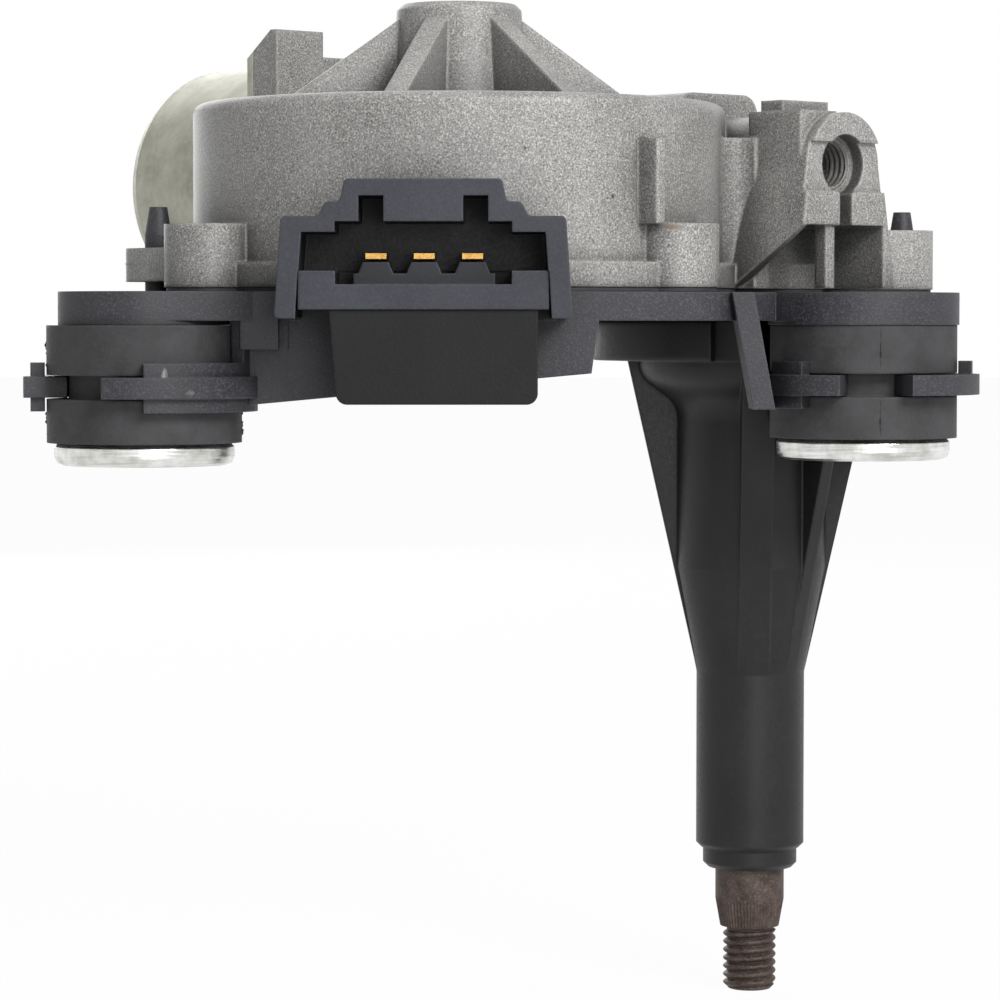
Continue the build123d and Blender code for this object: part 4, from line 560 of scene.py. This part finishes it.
@dataclass
class GearCasting(SubAssembly):
    """The gear housing with the gears and the shaft inside it. Lengths are in millimetres."""

    hole_r: float = 3.59
    hole_depth: float = 0.42
    hole_pitch: float = 1.0
    hole_from: float = 3.15
    hole_to: float = 6.85
    hole_gap: float = 0.02
    ear_place: tuple[float, float] = (-87.39, -23.86)
    ear_r: float = 4.7
    ear_seam_z: float = 100.1
    ear_seam_r: float = 0.16
    ear_seam_span: tuple[float, float] = (95.0, 300.0)
    fin_axes: Axes = Axes((-44.0, -14.0, 0.0), (0.684547, -0.728969, 0.0), (0.728969, 0.684547, 0.0))
    fin_z: tuple[float, float] = (105.4, 117.15)
    fin_middle: tuple[float, float] = (38.5, -1.0)
    fin_section: tuple[tuple[float, float], ...] = (
        (37.45, -2.17), (38.96, -2.17), (39.0, -1.95), (42.3, -1.85), (42.5, -1.65), (42.5, -0.35), (42.3, -0.15),
        (39.03, -0.05), (38.96, 2.17), (37.45, 2.17),
    )

    def build(self, wardrobe: Wardrobe) -> None:
        """Add the tapped turns in the tunnel's end, the mould seam round the left ear and the drum's locating fin.

        The fin carries its plan section, as distance from the gear's axis and offset beside it, straight up.

        Args:
            wardrobe: Holds the finishes.
        """
        turn = np.linspace(0.0, 2.0 * pi, 96, endpoint=False)[None, :]
        wards = np.linspace(self.hole_from, self.hole_to, 56)[:, None]
        crests = self.hole_r - self.hole_depth * np.abs(np.sin(pi * wards / self.hole_pitch - turn / 2.0))
        wall = np.full((2, turn.shape[1]), self.hole_r)
        reach = np.concatenate([wards, [[self.hole_to], [self.hole_from]]])
        tapped = WORM_AXES.turned(np.concatenate([crests - self.hole_gap, wall]), turn, reach)
        wardrobe.put(skin("tapped_turns", [tapped], True, Body.FRAME), CAST_ALUMINIUM)

        bearing = np.linspace(*np.radians(self.ear_seam_span), 60)[:, None]
        around = np.linspace(0.0, 2.0 * pi, 10, endpoint=False)[None, :]
        swell = self.ear_seam_r * np.sin(np.linspace(0.0, pi, 60))[:, None] ** 0.3
        axes = Axes((*self.ear_place, self.ear_seam_z))
        seam = axes.turned(self.ear_r + swell * np.cos(around), bearing, 0.6 * swell * np.sin(around))
        wardrobe.put(skin("ear_seam", [seam], False, Body.FRAME), CAST_ALUMINIUM)

        out, beside = np.array(self.fin_section).T[:, None, :]
        inner, side = (np.full_like(out, at) for at in self.fin_middle)
        out = np.concatenate([inner, out, out, inner])
        beside = np.concatenate([side, beside, beside, side])
        height = np.repeat(self.fin_z, 2)[:, None]
        fin = self.fin_axes.turned(np.hypot(out, beside), np.arctan2(beside, out), height)
        wardrobe.put(skin("locating_fin", [fin], False, Body.FRAME), CAST_ALUMINIUM)

    def dress(self, wardrobe: Wardrobe) -> None:
        """Put the finishes on the casting and on what turns in it.

        Args:
            wardrobe: Holds the finishes.
        """
        wardrobe.dress(CAST_ALUMINIUM, "gear_housing")
        wardrobe.dress(ACETAL, "worm_wheel")
        wardrobe.dress(PIN_BRASS, "contact_disc", "park_contacts")
        wardrobe.dress(MACHINED_STEEL, "wheel_axle", "axle_clip", "armature_shaft", "thrust_screw")
        wardrobe.dress(SINTERED_BRONZE, "front_bush", "mid_bush", "rear_bush")


@dataclass
class CarrierPlate(SubAssembly):
    """The plate under the housing with its gasket and screws. Lengths are in millimetres."""

    screw: Screw = Screw(head_r=4.2, head_height=2.4, shank_r=2.0, length=11.5)
    screw_foot: float = 91.9
    screw_places: tuple[tuple[float, float], ...] = ((-79.071, -36.0), (-13.509, -37.994), (-77.602, 5.4), (17.5, 24.0))
    collar_r: tuple[float, float] = (21.55, 24.0)
    collar_z: tuple[float, float] = (85.95, 91.9)
    collar_span: tuple[float, float] = (-18.0, 252.0)
    collar_power: float = 0.22

    def build(self, wardrobe: Wardrobe) -> None:
        """Add the collar round the spindle's base, and turn the four screws that show in the plate's recesses.

        The collar carries a rounded rectangle along an arc: a power of cosine and sine squares the circle, and the
        section shrinks to a point at both ends.

        Args:
            wardrobe: Holds the finishes.
        """
        around = np.linspace(0.0, 2.0 * pi, 40, endpoint=False)[None, :]
        bearing = np.linspace(*np.radians(self.collar_span), 180)
        bearing = np.concatenate([bearing[:1], bearing, bearing[-1:]])[:, None]
        grow = np.concatenate([[0.0], np.ones(180), [0.0]])[:, None]
        waves = np.cos(around), np.sin(around)
        out, high = (np.sign(wave) * np.abs(wave) ** self.collar_power * grow / 2.0 for wave in waves)
        (near, far), (low, top) = self.collar_r, self.collar_z
        collar = Axes((0.0, 0.0, 0.0)).turned((near + far) / 2.0 + (far - near) * out, bearing,
                                              (low + top) / 2.0 + (top - low) * high)
        wardrobe.put(skin("spindle_collar", [collar], False, Body.FRAME), SPINDLE_PLASTIC)
        grids = [self.screw.grid(Axes((*place, self.screw_foot))) for place in self.screw_places]
        piece = skin("housing_screw_set", grids, False, Body.FRAME)
        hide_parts("housing_screws")
        wardrobe.put(piece, MACHINED_STEEL)

    def dress(self, wardrobe: Wardrobe) -> None:
        """Put the finishes on the plate and the gasket."""
        wardrobe.dress(PLATE_PLASTIC, "carrier_plate")
        wardrobe.dress(RUBBER, "housing_gasket")


@dataclass
class BushMounts(SubAssembly):
    """The rubber grommets and their flanged sleeves. Lengths are in millimetres, bearings in degrees."""

    places: tuple[tuple[str, float, float, float], ...] = (
        ("left", -87.0, -50.0, 180.0), ("right", 14.2, -28.0, 275.0), ("rear", 11.0, 45.0, 180.0),
    )
    rubber_r: float = 13.4
    rings: tuple[tuple[float, float], ...] = ((75.7, 80.7), (85.0, 90.8))
    flash_reach: float = 0.35
    flash_half: float = 0.16

    def build(self, wardrobe: Wardrobe) -> None:
        """Leave the mould's flash on both sides of each grommet's rings.

        Args:
            wardrobe: Holds the finishes.
        """
        for side, x, y, bearing in self.places:
            seams = [radians(bearing), radians(bearing + 180.0)]
            grids = [self.flash(x, y, seam, low, high) for seam in seams for low, high in self.rings]
            wardrobe.put(skin(f"flash_{side}", grids, False, Body.FRAME), RUBBER)

    def flash(self, x: float, y: float, bearing: float, low: float, high: float) -> np.ndarray:
        """Upright fin whose reach follows three sines of unlike length, so that it looks torn.

        Args:
            x: Middle of the grommet.
            y: Middle of the grommet.
            bearing: Where the mould parts, in radians.
            low: Foot of the ring.
            high: Top of the ring.

        Returns:
            Grid of points with a wedge at each height.
        """
        height = np.linspace(low, high, 48)[:, None]
        torn = 0.35 + 0.4 * np.sin(1.9 * height + bearing) + 0.3 * np.sin(4.7 * height) + 0.2 * np.sin(11.3 * height)
        fade = np.sin(np.linspace(0.0, pi, 48))[:, None] ** 0.4
        out = self.flash_reach * np.clip(torn, 0.12, 1.0) * fade
        wide = self.flash_half * fade
        radius = self.rubber_r + np.concatenate([0.0 * out - 0.25, out, out, 0.0 * out - 0.25], axis=1)
        offset = np.concatenate([-wide, -0.3 * wide, 0.3 * wide, wide], axis=1) / self.rubber_r
        return Axes((x, y, 0.0)).turned(radius, bearing + offset, height)

    def dress(self, wardrobe: Wardrobe) -> None:
        """Put rubber and bright zinc on each mount."""
        wardrobe.dress(RUBBER, *(f"grommet_{place[0]}" for place in self.places))
        wardrobe.dress(ZINC_SLEEVE, *(f"sleeve_{place[0]}" for place in self.places))


@dataclass
class SpindleUnit(SubAssembly):
    """The wiper spindle, its housing and the crank linkage above it. Lengths are in millimetres."""

    thread_r: float = 4.0
    thread_depth: float = 0.68
    pitch: float = 1.25
    tip_z: float = -9.6
    chamfer: float = 0.8
    neck_r: float = 3.45
    neck_height: float = 0.6
    cone_r: float = 4.45
    cone_top: float = 4.2
    shaft_r: float = 5.2
    shaft_top: float = 101.0
    teeth: int = 60
    tooth_depth: float = 0.18

    def build(self, wardrobe: Wardrobe) -> None:
        """Turn the spindle: a chamfered thread, a neck, a cone with a cosine for each tooth, and a plain shaft.

        Args:
            wardrobe: Holds the finishes.
        """
        turn = np.linspace(0.0, 2.0 * pi, 6 * self.teeth, endpoint=False)[None, :]
        height = np.concatenate([
            np.linspace(self.tip_z, -0.02, 120), np.linspace(0.0, self.cone_top + 0.6, 26), [9.0, 40.0, 70.0],
            [self.shaft_top],
        ])[:, None]
        tip = self.thread_r - self.chamfer + height - self.tip_z
        turned = np.minimum(thread(self.thread_r, self.thread_depth, self.pitch, turn, height), tip)
        turned = np.where(height > -self.neck_height, self.neck_r, turned)
        cone = self.cone_r + (self.shaft_r - self.cone_r) * np.clip(height / self.cone_top, 0.0, 1.0)
        fade = np.clip((self.cone_top + 0.4 - height) / 0.9, 0.0, 1.0)
        knurled = cone - 0.5 * self.tooth_depth * fade * (1.0 - np.cos(self.teeth * turn))
        radius = np.where(height < 0.0, turned, knurled)
        pole = np.zeros((1, turn.shape[1]))
        radius = np.concatenate([pole, radius, pole])
        reach = np.concatenate([height[:1], height, height[-1:]])
        piece = skin("threaded_spindle", [Axes((0.0, 0.0, 0.0)).turned(radius, turn, reach)], False, Body.SPINDLE)
        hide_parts("wiper_spindle")
        wardrobe.put(piece, SPINDLE_STEEL)

    def dress(self, wardrobe: Wardrobe) -> None:
        """Put the finishes on the spindle's other pieces.

        Args:
            wardrobe: Holds the finishes.
        """
        wardrobe.dress(SPINDLE_PLASTIC, "spindle_housing")
        wardrobe.dress(SINTERED_BRONZE, "spindle_bush_lower", "spindle_bush_upper")
        wardrobe.dress(RUBBER, "spindle_seal")
        wardrobe.dress(MACHINED_STEEL, "spindle_washer", "drive_lever", "lever_pin", "connecting_rod", "crank_pin")


@dataclass
class Motor(SubAssembly):
    """The drawn can with the armature, magnets and brush gear. Lengths are in millimetres."""

    screw: Screw = Screw(head_r=4.2, head_height=2.4, shank_r=2.2, length=8.88)
    screw_at: tuple[float, float] = (22.47, 10.959)
    head_face: float = 106.9

    def build(self, wardrobe: Wardrobe) -> None:
        """Turn the two screws that hold the can.

        Args:
            wardrobe: Holds the finishes.
        """
        across, up, along = (np.array(way) for way in (WORM_AXES.across, WORM_AXES.up, WORM_AXES.along))
        grids = []
        for side in (1.0, -1.0):
            middle = np.array(WORM_AXES.origin) + self.head_face * along
            middle += side * (self.screw_at[0] * across + self.screw_at[1] * up)
            grids.append(self.screw.grid(Axes(tuple(middle), tuple(up), tuple(across), tuple(-along))))
        piece = skin("motor_screw_set", grids, False, Body.FRAME)
        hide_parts("motor_screws")
        wardrobe.put(piece, MACHINED_STEEL)

    def dress(self, wardrobe: Wardrobe) -> None:
        """Put the finishes on the motor's other pieces.

        Args:
            wardrobe: Holds the finishes.
        """
        wardrobe.dress(CAN_STEEL, "motor_can")
        wardrobe.dress(LAMINATED_IRON, "lamination_stack")
        wardrobe.dress(COPPER, "end_windings", "commutator", "brush_springs")
        wardrobe.dress(FERRITE, "field_magnets")
        wardrobe.dress(PHENOLIC, "brush_plate")
        wardrobe.dress(CARBON, "carbon_brushes")


@dataclass
class Connector(SubAssembly):
    """The hood, the body and the terminal pins of the plug socket."""

    def dress(self, wardrobe: Wardrobe) -> None:
        """Put the finishes on the connector's pieces.

        Args:
            wardrobe: Holds the finishes.
        """
        wardrobe.dress(HOOD_PLASTIC, "connector_hood", "connector_body")
        wardrobe.dress(CONNECTOR_PLASTIC, "connector_block")
        wardrobe.dress(PIN_BRASS, "terminal_pins")


@dataclass(frozen=True)
class Lamp:
    """A square soft lamp: its place and side in millimetres, and its power in watts."""

    name: str
    place: tuple[float, float, float]
    size: float
    watts: float


@dataclass
class Studio:
    """White floor, soft lamps and the camera of the product view. Lengths are in millimetres."""

    focal_px: float = 3700.0
    image_px: float = 1000.0
    horizon_px: float = 320.0
    sensor_mm: float = 36.0
    camera_place: tuple[float, float, float] = (-38.0, -560.0, 92.0)
    floor_half: float = 6000.0
    floor_gap: float = 0.2
    target: tuple[float, float, float] = (-30.0, 0.0, 70.0)
    world_light: float = 0.12
    paper_glow: float = 0.97
    lamps: tuple[Lamp, ...] = (
        Lamp("key_lamp", (480.0, -880.0, 640.0), 420.0, 11.0),
        Lamp("front_lamp", (160.0, -1050.0, 170.0), 260.0, 2.0),
        Lamp("top_lamp", (-140.0, 120.0, 980.0), 800.0, 2.0),
        Lamp("back_lamp", (-320.0, 900.0, 420.0), 700.0, 4.0),
    )

    def build(self) -> None:
        """Set the camera, the lamps, the floor and the world."""
        self.set_camera()
        for lamp in self.lamps:
            self.set_lamp(lamp)
        self.set_floor()
        self.set_world()
        bpy.context.scene.view_settings.view_transform = "Standard"

    def set_camera(self) -> None:
        """Place the camera level with the plate and pitch it by the horizon's height in the picture."""
        data = bpy.data.cameras.new("product_camera")
        data.sensor_width = self.sensor_mm
        data.lens = self.focal_px / self.image_px * self.sensor_mm
        data.clip_start = 0.01
        camera = bpy.data.objects.new("product_camera", data)
        camera.location = Vector(self.camera_place) * MM
        pitch = atan((self.image_px / 2.0 - self.horizon_px) / self.focal_px)
        camera.rotation_euler = (pi / 2.0 - pitch, 0.0, 0.0)
        bpy.context.scene.collection.objects.link(camera)
        bpy.context.scene.camera = camera

    def set_lamp(self, lamp: Lamp) -> None:
        """Hang one lamp that faces the part.

        Args:
            lamp: The lamp to hang.
        """
        data = bpy.data.lights.new(lamp.name, "AREA")
        data.size = lamp.size * MM
        data.energy = lamp.watts
        hung = bpy.data.objects.new(lamp.name, data)
        hung.location = Vector(lamp.place) * MM
        hung.rotation_euler = (Vector(self.target) - Vector(lamp.place)).to_track_quat("-Z", "Y").to_euler()
        bpy.context.scene.collection.objects.link(hung)

    def seen(self, tree: bpy.types.NodeTree) -> bpy.types.NodeSocket:
        """Tell the rays that show the background from those that light the part.

        Args:
            tree: The node tree of the floor or the world.

        Returns:
            One for camera, glossy and transmission rays, and nought for the others.
        """
        path = add(tree, "LightPath").outputs
        pair = add(tree, "Math", {0: path["Is Camera Ray"], 1: path["Is Glossy Ray"]}, operation="MAXIMUM")
        both = {0: pair.outputs[0], 1: path["Is Transmission Ray"]}
        return add(tree, "Math", both, operation="MAXIMUM").outputs[0]

    def set_floor(self) -> None:
        """Lay a square floor under the spindle's end: white with a faint shadow from above, and clear from below."""
        level = CAD_BOX[0].z - self.floor_gap * MM
        half = self.floor_half * MM
        corners = np.array([[-half, -half, level], [half, -half, level], [half, half, level], [-half, half, level]])
        mesh = bpy.data.meshes.new("floor")
        mesh.from_pydata(corners.tolist(), [], [(0, 1, 2, 3)])
        floor = bpy.data.objects.new("floor", mesh)
        bpy.context.scene.collection.objects.link(floor)
        material = bpy.data.materials.new("white_paper")
        material.use_nodes = True
        tree = material.node_tree
        tree.nodes.clear()
        matt = add(tree, "BsdfDiffuse", {"Color": linear("#f4f4f4")})
        glow = add(tree, "Emission", {"Color": linear("#ffffff"), "Strength": 1.0})
        share = add(tree, "Math", {0: self.seen(tree), 1: self.paper_glow}, operation="MULTIPLY")
        paper = add(tree, "MixShader", {0: share.outputs[0], 1: matt.outputs[0], 2: glow.outputs[0]})
        below = add(tree, "NewGeometry").outputs["Backfacing"]
        clear = add(tree, "BsdfTransparent")
        sheet = add(tree, "MixShader", {0: below, 1: paper.outputs[0], 2: clear.outputs[0]})
        add(tree, "OutputMaterial", {"Surface": sheet.outputs[0]})
        mesh.materials.append(material)

    def set_world(self) -> None:
        """Make the world white to the eye and softer as light on the part."""
        world = bpy.data.worlds.new("white_studio")
        world.use_nodes = True
        tree = world.node_tree
        tree.nodes.clear()
        strength = add(tree, "MapRange", {"Value": self.seen(tree), "To Min": self.world_light, "To Max": 1.0})
        shine = {"Color": linear("#ffffff"), "Strength": strength.outputs["Result"]}
        light = add(tree, "Background", shine)
        add(tree, "OutputWorld", {"Surface": light.outputs[0]})
        bpy.context.scene.world = world


def main() -> None:
    """Build the studio and dress each sub-assembly in order."""
    logging.basicConfig(level=logging.INFO, format="%(name)s: %(message)s")
    Studio().build()
    wardrobe = Wardrobe()
    for part in (GearCasting(), CarrierPlate(), BushMounts(), SpindleUnit(), Motor(), Connector()):
        part.build(wardrobe)
        part.dress(wardrobe)


if __name__ == "__main__":
    main()
